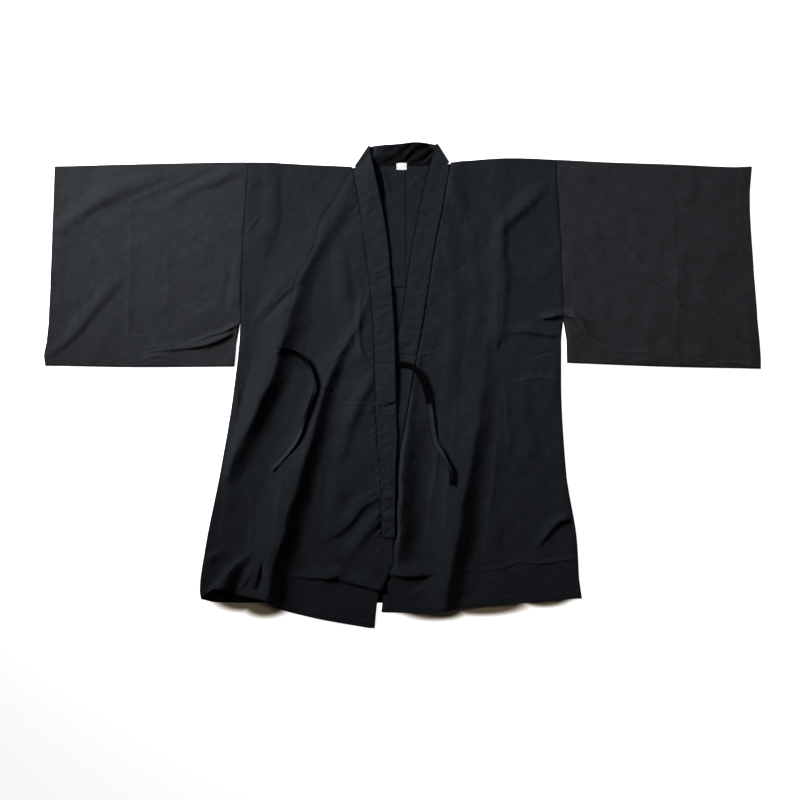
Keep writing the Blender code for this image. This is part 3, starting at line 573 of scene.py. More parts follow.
# Weave, in metres, and the grain of sewing thread for each metre
THREAD_PITCH = 0.0007
THREAD_HEIGHT = 0.000025
SLUB_HEIGHT = 0.00008
CRUMPLE = 0.0006
THREAD_GRAIN = 900
LABEL_WEAVE = {"Pitch": 0.0004, "Mottle": 0.03, "Slub": 0.06, "Crumple": 0}

# Stitches, loose threads and lint: the slot of each and its sizes in mm
STITCHES = {
    "hem_stitches": Stitch("body_cotton", 4.4, 2, 0.6),
    "tie_stitches": Stitch("tie_cotton", 3, 1.6, 0.9),
    "band_end_threads": Stitch("band_cotton", 1, 1.6, 0.7),
    "lint": Stitch("sleeve_cotton", 0.5, 1.2, 0.9),
    "cuff_stitches": Stitch("sleeve_cotton", 9, 1.2, 0.5),
    "label_stitches": Stitch("band_cotton", 3, 1.6, 0.7),
}
STITCH_SINK = 0.05
TIE_STITCH_LIFT = 0.3
LABEL_STITCH_LIFT = 0.55
LINT = named(Bend, [(-520.5, 310), (323.7, 416), (117.5, 224)])

# Lamps: place and aim in metres, strength in watts, and the angle that each one's light fills
LAMPS = {
    "key": Lamp((-1.6, 1.0, 1.0), (-0.36, 0.37, 0), 0.85, 9.0, 50),
    "far sleeve": Lamp((0.4, 1.1, 0.8), (0.6, 0.2, 0), 0.6, 1.2, 62),
}
SKY_COLOUR = (0.97, 0.985, 1, 1)
SKY_STRENGTH = 0.025

# Floor, and the oval patches of painted shadow under the hems
FLOOR_COLOUR = (0.9, 0.9, 0.9)
FLOOR_REACH = 20
FLOOR_GLOW = 0.9
PAINTED_SHADOW_GLOW = 0.01
PAINTED_SHADOW_COLOUR = (0.16, 0.12, 0.075)
PAINTED_SHADOW_TINT = (1, 0.9, 0.76)
PAINTED_FLOOR_SHADOWS = named(Patch, [
    (-306, -404, 74, 36), (-262, -414, 62, 38), (62, -424, 90, 32), (150, -415, 120, 32),
    (270, -402, 70, 28)])


def ease(value):
    """Smooth step from 0 to 1."""
    value = np.clip(value, 0, 1)
    return value * value * (3 - 2 * value)


def mix(first, second, share):
    """Value that lies the given share of the way from first to second."""
    return first + (second - first) * share


def graph(rows, across, up):
    """Smooth graph of one column of a table over another, level past both its ends."""
    table = sorted((getattr(row, across), getattr(row, up)) for row in rows)
    places, values = np.array(table, dtype=float).T
    widths = np.diff(places)
    slopes = np.diff(values) / widths
    tangents = np.zeros(len(places))
    tangents[0] = slopes[0]
    tangents[-1] = slopes[-1]
    for i in range(1, len(places) - 1):
        if slopes[i - 1] * slopes[i] > 0:
            tangents[i] = 2 * slopes[i - 1] * slopes[i] / (slopes[i - 1] + slopes[i])

    def value_at(place):
        place = np.clip(place, places[0], places[-1])
        i = np.clip(np.searchsorted(places, place) - 1, 0, len(widths) - 1)
        t = (place - places[i]) / widths[i]
        curved = tangents[i] * t * (1 - t) ** 2 - tangents[i + 1] * t ** 2 * (1 - t)
        return mix(values[i], values[i + 1], ease(t)) + widths[i] * curved

    return value_at


def smooth_path(rows, steps):
    """Rows of numbers joined by one smooth curve, with steps points to each span."""
    table = np.array(rows, dtype=float)
    ends = np.vstack([2 * table[0] - table[1], table, 2 * table[-1] - table[-2]])
    points = []
    for i in range(len(table) - 1):
        before, start, end, after = ends[i:i + 4]
        for k in range(steps):
            t = k / steps
            bend = 2 * before - 5 * start + 4 * end - after
            twist = 3 * start - before - 3 * end + after
            points.append(start + 0.5 * ((end - before) * t + bend * t ** 2 + twist * t ** 3))
    points.append(table[-1])
    return np.array(points)


side_edge = {side: graph(rows, "y", "x") for side, rows in SIDE_EDGE.items()}
top_edge = {side: graph(rows, "x", "y") for side, rows in TOP_EDGE.items()}
front_hem = {side: graph(rows, "x", "y") for side, rows in FRONT_HEM.items()}
back_hem = graph(BACK_HEM, "x", "y")
neck_seam = graph(NECK_SEAM, "x", "y")
collar_top = graph(COLLAR_TOP, "x", "y")
band_seam = {side: graph(rows, "y", "x") for side, rows in BAND_SEAM.items()}
band_free = {side: graph(rows, "y", "x") for side, rows in BAND_FREE.items()}
front_edge = graph(FRONT_EDGE, "y", "x")
cuff_edge = {side: graph(rows, "y", "x") for side, rows in CUFF_EDGE.items()}
sleeve_low = {side: graph(rows, "x", "y") for side, rows in SLEEVE_LOW.items()}
sleeve_gap = {side: graph(rows, "y", "gap") for side, rows in SLEEVE_GAP.items()}
seam_level = {side: graph(rows, "y", "z") for side, rows in SEAM_LEVEL.items()}
seam_puckers = {side: graph(rows, "y", "z") for side, rows in SEAM_PUCKERS.items()}
free_level = {side: graph(rows, "seam", "free") for side, rows in BAND_SECTIONS.items()}
free_tilt = {side: graph(rows, "seam", "tilt") for side, rows in BAND_SECTIONS.items()}


def sleeve_inner(side, y):
    """Inner edge of a sleeve: along the armhole seam, then free of the body."""
    return side_edge[side](y) + SIGN[side] * sleeve_gap[side](y)


def round_profile(share):
    """Cross section of a soft fold, from its crest at 0 to its foot at 1."""
    return 0.5 + 0.5 * np.cos(np.pi * share)


def roll_profile(share):
    """Cross section of a long roll, steepest beside its crest and hollow at its foot."""
    return (1 - share ** 1.5) ** 3


def sharp_profile(share):
    """Cross section of a crease, with a narrow crest and hollow flanks."""
    return (1 - share) ** 2


def fold_rise(stations, x, y, profile=round_profile):
    """Height that one fold adds at the points x, y."""
    path = smooth_path(stations, PATH_STEPS)
    reach = max(max(station.left, station.right) for station in stations)
    rise = np.zeros(np.shape(x))
    near = (x > path[:, 0].min() - reach) & (x < path[:, 0].max() + reach)
    near &= (y > path[:, 1].min() - reach) & (y < path[:, 1].max() + reach)
    if not near.any():
        return rise
    x = x[near]
    y = y[near]
    nearest = np.full(len(x), np.inf)
    found = np.zeros(len(x))
    for start, end in zip(path[:-1], path[1:]):
        step = end[:2] - start[:2]
        share = ((x - start[0]) * step[0] + (y - start[1]) * step[1]) / (step @ step)
        share = np.clip(share, 0, 1)
        across = x - mix(start[0], end[0], share)
        along = y - mix(start[1], end[1], share)
        distance = np.hypot(across, along)
        on_left = step[0] * along - step[1] * across > 0
        width = np.where(on_left, mix(start[3], end[3], share), mix(start[4], end[4], share))
        bump = mix(start[2], end[2], share) * profile(np.clip(distance / width, 0, 1))
        closer = distance < nearest
        nearest = np.where(closer, distance, nearest)
        found = np.where(closer, bump, found)
    rise[near] = found
    return rise


def total_rise(table, x, y, profile=round_profile):
    """Height that all folds of a table add together, none of them quite straight."""
    x_bent = x + WANDER * ripple(x, y, 74, 90)
    y_bent = y + WANDER * ripple(x, y, 74, 91)
    return sum(fold_rise(stations, x_bent, y_bent, profile) for stations in table.values())


def ripple(x, y, wavelength, seed):
    """Gentle uneven waves between about -1 and 1, the same for the same seed."""
    chance = np.random.default_rng(seed)
    total = np.zeros(np.shape(x))
    waves = 14
    for _ in range(waves):
        angle = chance.uniform(0, np.pi)
        pitch = wavelength * chance.uniform(0.7, 1.6)
        shift = chance.uniform(0, 2 * np.pi)
        total += np.sin(2 * np.pi * (x * np.cos(angle) + y * np.sin(angle)) / pitch + shift)
    return total / np.sqrt(waves)


def softness(x, y, seed):
    """Slight unevenness of cloth that was laid out by hand, mm."""
    return (0.9 * ripple(x, y, 120, seed) + 0.55 * ripple(x, y, 52, seed + 1)
            + 0.16 * ripple(x, y, 20, seed + 2))


def front_main(side, x, y):
    """Height of the middle of a front's cloth with its main folds."""
    x, y = np.broadcast_arrays(np.atleast_1d(np.asarray(x, float)), np.atleast_1d(np.asarray(y, float)))
    inside = SIGN[side] * (side_edge[side](y) - x)
    held = np.maximum(ease(inside / SEWN_SIDE_REACH), ease((y - ARMHOLE_END) / ARMHOLE_BLEND))
    held = held * ease((top_edge[side](x) - y) / SHOULDER_REACH)
    from_band = SIGN[side] * (x - band_seam[side](y))
    propped = (seam_level[side](y) - UPPER_LAYER) * (1 - ease(from_band / SEAM_LEVEL_REACH[side]))
    folded = total_rise(ROLLS[side], x, y, roll_profile) + total_rise(FOLDS[side], x, y)
    return UPPER_LAYER + held * folded + propped


def front_height(side, x, y):
    """Height of a front's cloth with its small folds, its turned edges and its seams."""
    inside = SIGN[side] * (side_edge[side](y) - x)
    below_top = top_edge[side](x) - y
    above_hem = y - front_hem[side](x)
    from_band = SIGN[side] * (x - band_seam[side](y))
    free = ease(inside / FRONT_SMALL_REACH) * ease(below_top / FRONT_SMALL_REACH)
    small = total_rise(CREASES[side], x, y, sharp_profile) + total_rise(WAVES[side], x, y)
    small = small * np.maximum(free, ease((y - ARMHOLE_END) / ARMHOLE_BLEND))
    beside_band = ease(np.abs(from_band) / BESIDE_BAND_REACH)
    small = small + softness(x, y, FRONT_SEED[side]) * free * mix(0.3, 1, beside_band)
    gathered = seam_puckers[side](y) * ripple(0.35 * x, y + 0.6 * from_band, 13, 61)
    gathered = gathered * ease(from_band / SEAM_PUCKER_START)
    small = small + gathered * (1 - ease(from_band / SEAM_PUCKER_REACH))
    turned = TURNED_UP * ease((HEM_DEPTH - above_hem) / TURNED_SLOPE)
    above_end = y > BAND_END[side] - 2
    dip = np.where(above_end, 1 - ease(from_band / SEAM_DIP_REACH), 0)
    armhole = ease((y - ARMHOLE_END + 8) / 8)
    dip = np.maximum(dip, (1 - ease(inside / SEAM_DIP_REACH)) * mix(0.4, 1, armhole))
    height = front_main(side, x, y) + small + turned - SEAM_DIP * dip
    return np.maximum(height, LOWEST_UPPER)


def sleeve_height(side, x, y):
    """Height of the middle of a sleeve's upper layer."""
    outside = SIGN[side] * (x - sleeve_inner(side, y))
    from_cuff = SIGN[side] * (cuff_edge[side](y) - x)
    from_low = y - sleeve_low[side](x)
    from_top = top_edge[side](x) - y
    joined = ease((y - ARMHOLE_END) / ARMHOLE_BLEND)
    held = np.maximum(ease(outside / SEWN_SIDE_REACH), joined)
    held = held * ease(from_top / SHOULDER_REACH) * ease(from_low / SLEEVE_EDGE_REACH)
    free = np.maximum(ease(outside / SLEEVE_SMALL_REACH), joined)
    free = free * ease(from_top / SLEEVE_TOP_SMALL_REACH) * ease(from_low / SLEEVE_SMALL_REACH)
    small = total_rise(CREASES[side], x, y, sharp_profile) + total_rise(WAVES[side], x, y)
    small = small + softness(x, y, SLEEVE_SEED[side])
    turned = TURNED_UP * ease((CUFF_DEPTH - from_cuff) / TURNED_SLOPE)
    dip = 1.5 * SEAM_DIP * (1 - ease(outside / SEAM_DIP_REACH)) * joined
    height = UPPER_LAYER + held * total_rise(FOLDS[side], x, y) + free * small + turned - dip
    return np.maximum(height, LOWEST_UPPER)


def half_turn(low, high, outward, steps):
    """Points of the round edge where cloth turns back from a low point to a high one."""
    low = np.array(low, dtype=float)
    high = np.array(high, dtype=float)
    middle = (low + high) / 2
    radius = (high[2] - low[2]) / 2
    points = []
    for k in range(1, steps + 1):
        angle = np.pi * (k / (steps + 1) - 0.5)
        lean = middle + (high - low) / 2 * np.sin(angle)
        points.append(lean + np.array([*outward, 0]) * radius * np.cos(angle))
    return points


def add_node(tree, kind, inputs, **settings):
    """Node with its settings, and its inputs set or joined to the sockets given for them."""
    node = tree.nodes.new(kind)
    for name, value in settings.items():
        setattr(node, name, value)
    for key, value in inputs.items():
        if isinstance(value, bpy.types.NodeSocket):
            tree.links.new(value, node.inputs[key])
        else:
            node.inputs[key].default_value = value
    return node


def make_tree(name, kind, inputs, outputs):
    """Node tree with named inputs and outputs, and its first and last node."""
    tree = bpy.data.node_groups.new(name, kind)
    for label, sort, value in inputs:
        socket = tree.interface.new_socket(label, in_out="INPUT", socket_type="NodeSocket" + sort)
        if value is not None:
            socket.default_value = value
    for label, sort in outputs:
        tree.interface.new_socket(label, in_out="OUTPUT", socket_type="NodeSocket" + sort)
    return tree, tree.nodes.new("NodeGroupInput"), tree.nodes.new("NodeGroupOutput")


def math_node(tree, operation, first, second):
    """Number made from two numbers or sockets."""
    return add_node(tree, "ShaderNodeMath", {0: first, 1: second}, operation=operation).outputs[0]


def scaled_colour(tree, colour, amount):
    """Colour made lighter or darker by an amount."""
    scale = add_node(tree, "ShaderNodeVectorMath", {0: colour, "Scale": amount}, operation="SCALE")
    return scale.outputs[0]


def stretched_noise(tree, vector, across, along, detail):
    """Uneven tone in metres of cloth, drawn out along one of its threads."""
    place = add_node(tree, "ShaderNodeMapping", {"Vector": vector, "Scale": (across, along, 1)})
    sizes = {"Vector": place.outputs[0], "Scale": 1, "Detail": detail}
    return add_node(tree, "ShaderNodeTexNoise", sizes).outputs[0]


def centred(tree, tone, amount):
    """A noise's tone, moved to lie round 0 and made stronger or weaker."""
    return math_node(tree, "MULTIPLY", math_node(tree, "SUBTRACT", tone, 0.5), amount)


def make_weave_group():
    """Plain weave: its threads' height, and the uneven tone of thick and thin yarn."""
    group, start, end = make_tree(
        "plain_weave", "ShaderNodeTree",
        [("Place", "Vector", None), ("Pitch", "Float", THREAD_PITCH), ("Mottle", "Float", 0.2),
         ("Slub", "Float", 0.2), ("Crumple", "Float", CRUMPLE)],
        [("Height", "Float"), ("Tone", "Float")])
    place = start.outputs["Place"]
    parts = add_node(group, "ShaderNodeSeparateXYZ", {0: place})
    threads = []
    for axis in range(2):
        turns = math_node(group, "DIVIDE", parts.outputs[axis], start.outputs["Pitch"])
        threads.append(math_node(group, "SINE", math_node(group, "MULTIPLY", turns, np.pi), 0))
    over = math_node(group, "MULTIPLY", threads[0], threads[1])
    weft = stretched_noise(group, place, 45, 340, 3)
    warp = stretched_noise(group, place, 420, 60, 2)
    cloud = stretched_noise(group, place, 26, 26, 4)
    crumple = stretched_noise(group, place, 55, 70, 5)
    yarn = math_node(group, "ADD", centred(group, weft, 2.5), centred(group, warp, 1.8))
    yarn = math_node(group, "MULTIPLY", yarn, start.outputs["Slub"])
    patch = centred(group, cloud, start.outputs["Mottle"])
    tone = math_node(group, "ADD", math_node(group, "ADD", yarn, patch), 1)
    thick = math_node(group, "MULTIPLY", math_node(group, "ADD", weft, warp), SLUB_HEIGHT)
    raised = math_node(group, "ADD", math_node(group, "MULTIPLY", over, THREAD_HEIGHT), thick)
    uneven = math_node(group, "MULTIPLY", crumple, start.outputs["Crumple"])
    group.links.new(math_node(group, "ADD", raised, uneven), end.inputs["Height"])
    group.links.new(tone, end.inputs["Tone"])
    return group


def make_painted_light_group():
    """Cloth with painted light: a painted highlight on the crests of folds, and painted shade at edges,
    seams and turned cloth.
    """
    group, start, end = make_tree(
        "painted_light_on_cloth", "ShaderNodeTree",
        [("Colour", "Color", None), ("Place", "Vector", None), ("Rub", "Float", None),
         ("Amount", "Float", None), ("Tone", "Float", None)],
        [("Colour", "Color")])
    grain = stretched_noise(group, start.outputs["Place"], 700, 700, 3)
    painted = math_node(group, "MULTIPLY", start.outputs["Rub"], math_node(group, "MULTIPLY", grain, 2))
    painted = math_node(group, "MULTIPLY", painted, start.outputs["Amount"])
    light = math_node(group, "MAXIMUM", math_node(group, "ADD", start.outputs["Tone"], painted), DARKEST)
    group.links.new(scaled_colour(group, start.outputs["Colour"], light), end.inputs["Colour"])
    return group


def plain_material(name, colour, roughness):
    """Material of one colour, with its shader and node tree."""
    material = bpy.data.materials.new(name)
    material.use_nodes = True
    tree = material.node_tree
    shader = tree.nodes["Principled BSDF"]
    shader.inputs["Base Color"].default_value = (*colour, 1)
    shader.inputs["Roughness"].default_value = roughness
    shader.inputs["Metallic"].default_value = 0
    return material, tree, shader


def add_weave(tree, shader, group, strength, sizes):
    """Weave's bumps on a shader. Gives the place on the cloth and the weave's tone there."""
    place = add_node(tree, "ShaderNodeUVMap", {}, uv_map="cloth").outputs[0]
    weave = add_node(tree, "ShaderNodeGroup", {"Place": place, **sizes}, node_tree=group)
    bump = add_node(tree, "ShaderNodeBump",
                    {"Strength": strength, "Distance": 1, "Height": weave.outputs["Height"]})
    tree.links.new(bump.outputs[0], shader.inputs["Normal"])
    return place, weave.outputs["Tone"]


def make_cotton(name, look, groups):
    """Matt woven cotton."""
    material, tree, shader = plain_material(name, look.colour, look.roughness)
    shader.inputs["Specular IOR Level"].default_value = look.specular
    shader.inputs["Sheen Weight"].default_value = look.sheen
    shader.inputs["Sheen Roughness"].default_value = SHEEN_ROUGHNESS
    shader.inputs["Sheen Tint"].default_value = SHEEN_TINT
    sizes = {"Mottle": look.mottle, "Slub": look.slub}
    place, tone = add_weave(tree, shader, groups["weave"], 1, sizes)
    # Painted highlight on the crests of folds and painted shade at edges, seams and turned cloth
    rub = add_node(tree, "ShaderNodeAttribute", {}, attribute_name="rub").outputs["Fac"]
    inputs = {"Colour": (*look.colour, 1), "Place": place, "Rub": rub, "Amount": look.rub, "Tone": tone}
    painted = add_node(tree, "ShaderNodeGroup", inputs, node_tree=groups["rub"])
    tree.links.new(painted.outputs["Colour"], shader.inputs["Base Color"])
    return material


def make_label_weave(groups):
    """Smooth white woven label."""
    material, tree, shader = plain_material("label_weave", LABEL_COLOUR, 0.55)
    tone = add_weave(tree, shader, groups["weave"], 0.6, LABEL_WEAVE)[1]
    tree.links.new(scaled_colour(tree, LABEL_COLOUR, tone), shader.inputs["Base Color"])
    return material


def make_thread(name, colour):
    """Twisted sewing thread or a fibre of lint."""
    material, tree, shader = plain_material(name, colour, 0.7)
    shader.inputs["Sheen Weight"].default_value = 0.2
    place = tree.nodes.new("ShaderNodeTexCoord").outputs["Object"]
    noise = add_node(tree, "ShaderNodeTexNoise", {"Scale": THREAD_GRAIN, "Vector": place})
    tone = add_node(tree, "ShaderNodeMapRange", {"To Min": 0.7, "To Max": 1.3, "Value": noise.outputs[0]})
    tree.links.new(scaled_colour(tree, colour, tone.outputs[0]), shader.inputs["Base Color"])
    return material


def spread_out(grid):
    """Place of each point of a grid on the flat cloth, in metres, and the painted highlight it gets on
    crests.
    """
    filled = np.where(np.isnan(grid), 0, grid)
    missing = np.isnan(grid[..., 0])
    steps = np.linalg.norm(np.diff(filled, axis=0), axis=2)
    steps[missing[1:] | missing[:-1]] = 0
    along = np.vstack([np.zeros(grid.shape[1]), np.cumsum(steps, axis=0)])
    flat = np.stack([filled[..., 0], along], axis=-1) * MM
    height = filled[..., 2]
    dome = np.zeros(height.shape)
    dome[1:-1] += 2 * height[1:-1] - height[2:] - height[:-2]
    dome[:, 1:-1] += 2 * height[:, 1:-1] - height[:, 2:] - height[:, :-2]
    rub = np.clip(dome * PAINTED_HIGHLIGHT_GAIN - PAINTED_HIGHLIGHT_START, 0, 1)
    return flat, rub


def grid_mesh(name, grid, shade, closed=False):
    """Mesh of the cells of a grid of points in mm whose four corners are all there."""
    there = ~np.isnan(grid[..., 0])
    number = (np.cumsum(there.ravel()) - 1).reshape(there.shape)
    points = grid[there] * MM
    flat, rub = spread_out(grid)
    # Painted shade along edges, seams and turned cloth, on top of the painted highlight on crests
    rub = rub - EDGE_SHADE * shade
    if closed:
        number = np.vstack([number, number[:1]])
        there = np.vstack([there, there[:1]])
    corners = np.stack([number[:-1, :-1], number[:-1, 1:], number[1:, 1:], number[1:, :-1]], axis=-1)
    whole = there[:-1, :-1] & there[:-1, 1:] & there[1:, 1:] & there[1:, :-1]
    mesh = bpy.data.meshes.new(name)
    mesh.from_pydata(points.tolist(), [], corners[whole].tolist())
    held = there[:-1] if closed else there
    mark_cloth(mesh, flat[held], rub[held])
    return mesh


def mark_cloth(mesh, flat, rub):
    """Keep each point's place on the flat cloth and its painted highlight and shade in the mesh."""
    corners = np.zeros(len(mesh.loops), dtype=np.int32)
    mesh.loops.foreach_get("vertex_index", corners)
    layer = mesh.uv_layers.new(name="cloth")
    layer.data.foreach_set("uv", flat[corners].astype(np.float32).ravel())
    attribute = mesh.attributes.new("rub", "FLOAT", "POINT")
    attribute.data.foreach_set("value", rub.astype(np.float32))


def apply_modifiers(piece):
    """Make the piece's mesh what its modifiers show, and take them off."""
    graph_now = bpy.context.evaluated_depsgraph_get()
    mesh = bpy.data.meshes.new_from_object(piece.evaluated_get(graph_now))
    piece.modifiers.clear()
    old = piece.data
    piece.data = mesh
    bpy.data.meshes.remove(old)
    mesh.name = piece.name
    return mesh


def add_piece(name, mesh, material):
    """Object at the origin with one mesh and material."""
    mesh.materials.clear()
    mesh.materials.append(material)
    piece = bpy.data.objects.new(name, mesh)
    bpy.context.scene.collection.objects.link(piece)
    return piece


def thicken(piece, thickness):
    """Give a surface the thickness of its cloth, with crisp cut edges."""
    wall = piece.modifiers.new("wall", "SOLIDIFY")
    wall.thickness = thickness * MM
    wall.offset = 0
    mesh = apply_modifiers(piece)
    mesh.shade_smooth()
    mesh.set_sharp_from_angle(angle=np.radians(SHARP_WALL))


def dress(piece, slot, *nodes):
    """Let a piece ride on the jacket's body in place of its solids."""
    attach(piece, "root")
    if nodes:
        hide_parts(*nodes)
    return piece


def even_shares(length, step, edge):
    """Shares from 0 to 1 with even steps, and closer ones beside both ends."""
    near = np.array([0, 0.35, 1]) * edge / length
    middle = np.linspace(2 * edge / length, 1 - 2 * edge / length, int(length / step))
    return np.concatenate([near, middle, 1 - near[::-1]])


def front_grid(side):
    """Points of a front from the shoulder down to the hem, each row from the band to the side."""
    gap = SIGN[side] * BAND_GAP
    shares = even_shares(FRONT_WIDTH, FRONT_STEP, FRONT_EDGE_STEP)
    y_top = np.full(len(shares), float(TOP_EDGE[side][0].y))
    y_hem = np.full(len(shares), float(BACK_HEM[0].y))
    for _ in range(4):
        x_top = mix(band_seam[side](y_top) + gap, side_edge[side](y_top), shares)
        y_top = top_edge[side](x_top)
        x_hem = mix(band_seam[side](y_hem), side_edge[side](y_hem), shares)
        y_hem = front_hem[side](x_hem)
    length = y_top[0] - y_hem[0]
    end = (y_top[0] - BAND_END[side] + 2) / length
    upper = np.linspace(0, end, int(end * length / FRONT_STEP))
    lower = np.linspace(end, 1, int((1 - end) * length / FRONT_STEP))[1:]
    rows = []
    for down in [*upper, *lower]:
        y = mix(y_top, y_hem, down)
        x = mix(band_seam[side](y) + gap, side_edge[side](y), shares)
        rows.append(np.column_stack([x, y, np.zeros(len(x))]))
    grid = np.array(rows)
    grid[..., 2] = front_height(side, grid[..., 0], grid[..., 1])
    return grid, len(upper) - 1


def stitched_edge(front, first_row):
    """Turned edge of the right front below its band, as more points on the band's side."""
    x = front[first_row:, 0, 0]
    y = front[first_row:, 0, 1]
    shares = np.arange(EDGE_COLUMNS, 0, -1) / EDGE_COLUMNS
    x_edge = mix(x[:, None], front_edge(y)[:, None], shares)
    y_edge = np.repeat(y[:, None], EDGE_COLUMNS, axis=1)
    height = front_height("right", x_edge, y_edge)
    return np.stack([x_edge, y_edge, height], axis=-1)


def back_grid(side, x_top):
    """Points of a back half from the hem up to the neck seam, each row from the middle to the side."""
    neck = np.linspace(CENTRE_BACK, x_top[0], NECK_COLUMNS + 1)[:-1]
    x_end = np.concatenate([neck, x_top])
    y_end = np.concatenate([neck_seam(neck), top_edge[side](x_top)])
    shares = (x_end - CENTRE_BACK) / (x_end[-1] - CENTRE_BACK)
    x_hem = mix(CENTRE_BACK, SIDE_EDGE[side][-1].x, shares)
    y_hem = back_hem(x_hem)
    rows = []
    for up in np.linspace(0, 1, int(BACK_LENGTH / BACK_STEP)):
        y = mix(y_hem, y_end, up)
        x = mix(CENTRE_BACK, side_edge[side](y), shares)
        rows.append(np.column_stack([x, y, np.full(len(x), BACK_LAYER)]))
    return np.array(rows)


def edge_shade(*distances):
    """How much painted shade cloth gets near an edge or seam, from its distances to all of them."""
    return np.max([1 - ease(distance / EDGE_WIDTH) for distance in distances], axis=0)


def body_shade(side, back, turn, face):
    """Painted shade: darker lines along the side, hem, shoulder and front edge, and painted shade inside
    the hem.
    """
    x, y = face[..., 0], face[..., 1]
    line = edge_shade(SIGN[side] * (side_edge[side](y) - x), y - front_hem[side](x))
    if side == "right":
        line = np.maximum(line, np.where(y < BAND_END[side], edge_shade(front_edge(y) - x), 0))
    inside_hem = INSIDE_SHADE * (1 - ease((back[..., 1] - INSIDE_FROM) / INSIDE_REACH))
    return np.concatenate([inside_hem, np.ones(turn.shape[:2]), np.nan_to_num(line)])


def make_body(side, material):
    """Front and back of one side in one length over the shoulder."""
    front, first_row = front_grid(side)
    back = back_grid(side, front[0][:, 0])
    columns = NECK_COLUMNS + front.shape[1]
    turn = np.full((TURN_STEPS, columns, 3), np.nan)
    for number, high in enumerate(front[0]):
        points = half_turn((*high[:2], BACK_LAYER), high, (0, 1), TURN_STEPS)
        turn[:, NECK_COLUMNS + number] = points
    face = np.full((len(front), columns, 3), np.nan)
    face[:, NECK_COLUMNS:] = front
    if side == "right":
        face[first_row:, NECK_COLUMNS - EDGE_COLUMNS:NECK_COLUMNS] = stitched_edge(front, first_row)
    grid = np.concatenate([back, turn, face])
    mesh = grid_mesh("cloth_body_" + side, grid, body_shade(side, back, turn, face))
    piece = add_piece("cloth_body_" + side, mesh, material)
    thicken(piece, CLOTH)
    dress(piece, "body_cotton", "body_" + side)
    return piece


def make_sleeve(side, material):
    """Sleeve folded along its top and sewn along its lower edge, open at the cuff and armhole."""
    low, high = SLEEVE_LOW[side][0].y, TOP_EDGE[side][2].y
    shares = even_shares(SLEEVE_LENGTH, SLEEVE_STEP, SLEEVE_EDGE_STEP)
    wide = np.linspace(0, CLOSE_FROM, int(CLOSE_FROM * SLEEVE_DEPTH / SLEEVE_STEP))
    close = np.linspace(CLOSE_FROM, 1, int((1 - CLOSE_FROM) * SLEEVE_DEPTH / CLOSE_STEP))
    down = np.concatenate([wide, close[1:]])
    coarse = np.linspace(0, 1, int(SLEEVE_DEPTH / BACK_STEP))
    columns = []
    shades = []
    for share in shares:
        y_top = top_edge[side](mix(sleeve_inner(side, high), cuff_edge[side](high), share))
        y_low = sleeve_low[side](mix(sleeve_inner(side, low), cuff_edge[side](low), share))
        y = mix(y_top, y_low, down)
        x = mix(sleeve_inner(side, y), cuff_edge[side](y), share)
        upper = np.column_stack([x, y, sleeve_height(side, x, y)])
        y = mix(y_low, y_top, coarse)
        x = mix(sleeve_inner(side, y), cuff_edge[side](y), share)
        lapped = BACK_LAYER + 0.25 * (1 - ease(share / 0.02))
        under = np.column_stack([x, y, np.full(len(x), lapped)])
        top_turn = half_turn(under[-1], upper[0], (0, 1), TURN_STEPS)
        low_turn = half_turn(under[0], upper[-1], (0, -1), TURN_STEPS)
        columns.append(np.array([*under, *top_turn, *upper, *reversed(low_turn)]))
        x, y = upper[:, 0], upper[:, 1]
        # Painted shade along the cuff, the armhole seam, the lower edge and the turned cloth, and darker
        # cloth towards the armhole
        line = edge_shade(SIGN[side] * (cuff_edge[side](y) - x), SIGN[side] * (x - sleeve_inner(side, y)),
                          y - sleeve_low[side](x)) + SLEEVE_DARKER_INWARD * (1 - share)
        turned = np.ones(TURN_STEPS)
        shades.append(np.concatenate([np.zeros(len(under)), turned, line, turned]))
    grid = np.swapaxes(np.array(columns), 0, 1)
    mesh = grid_mesh("cloth_sleeve_" + side, grid, np.array(shades).T, closed=True)
    piece = add_piece("cloth_sleeve_" + side, mesh, material)
    thicken(piece, CLOTH)
    dress(piece, "sleeve_cotton", "sleeve_" + side)
    return piece


def slab_shares(width, thickness, step):
    """Shares across a folded band, close together round its two edges."""
    radius = thickness / 2 / width
    near = np.array([0, 0.06, 0.25, 0.6, 1]) * radius
    middle = np.linspace(radius, 1 - radius, int(width / step) + 1)[1:-1]
    return np.concatenate([near, middle, 1 - near[::-1]])


def edge_round(shares, width, thickness):
    """Share of its full thickness that a band has at each place across it."""
    radius = thickness / 2
    from_edge = np.minimum(shares, 1 - shares) * width
    return np.sqrt(np.clip(1 - (1 - np.clip(from_edge / radius, 0, 1)) ** 2, 0, 1))


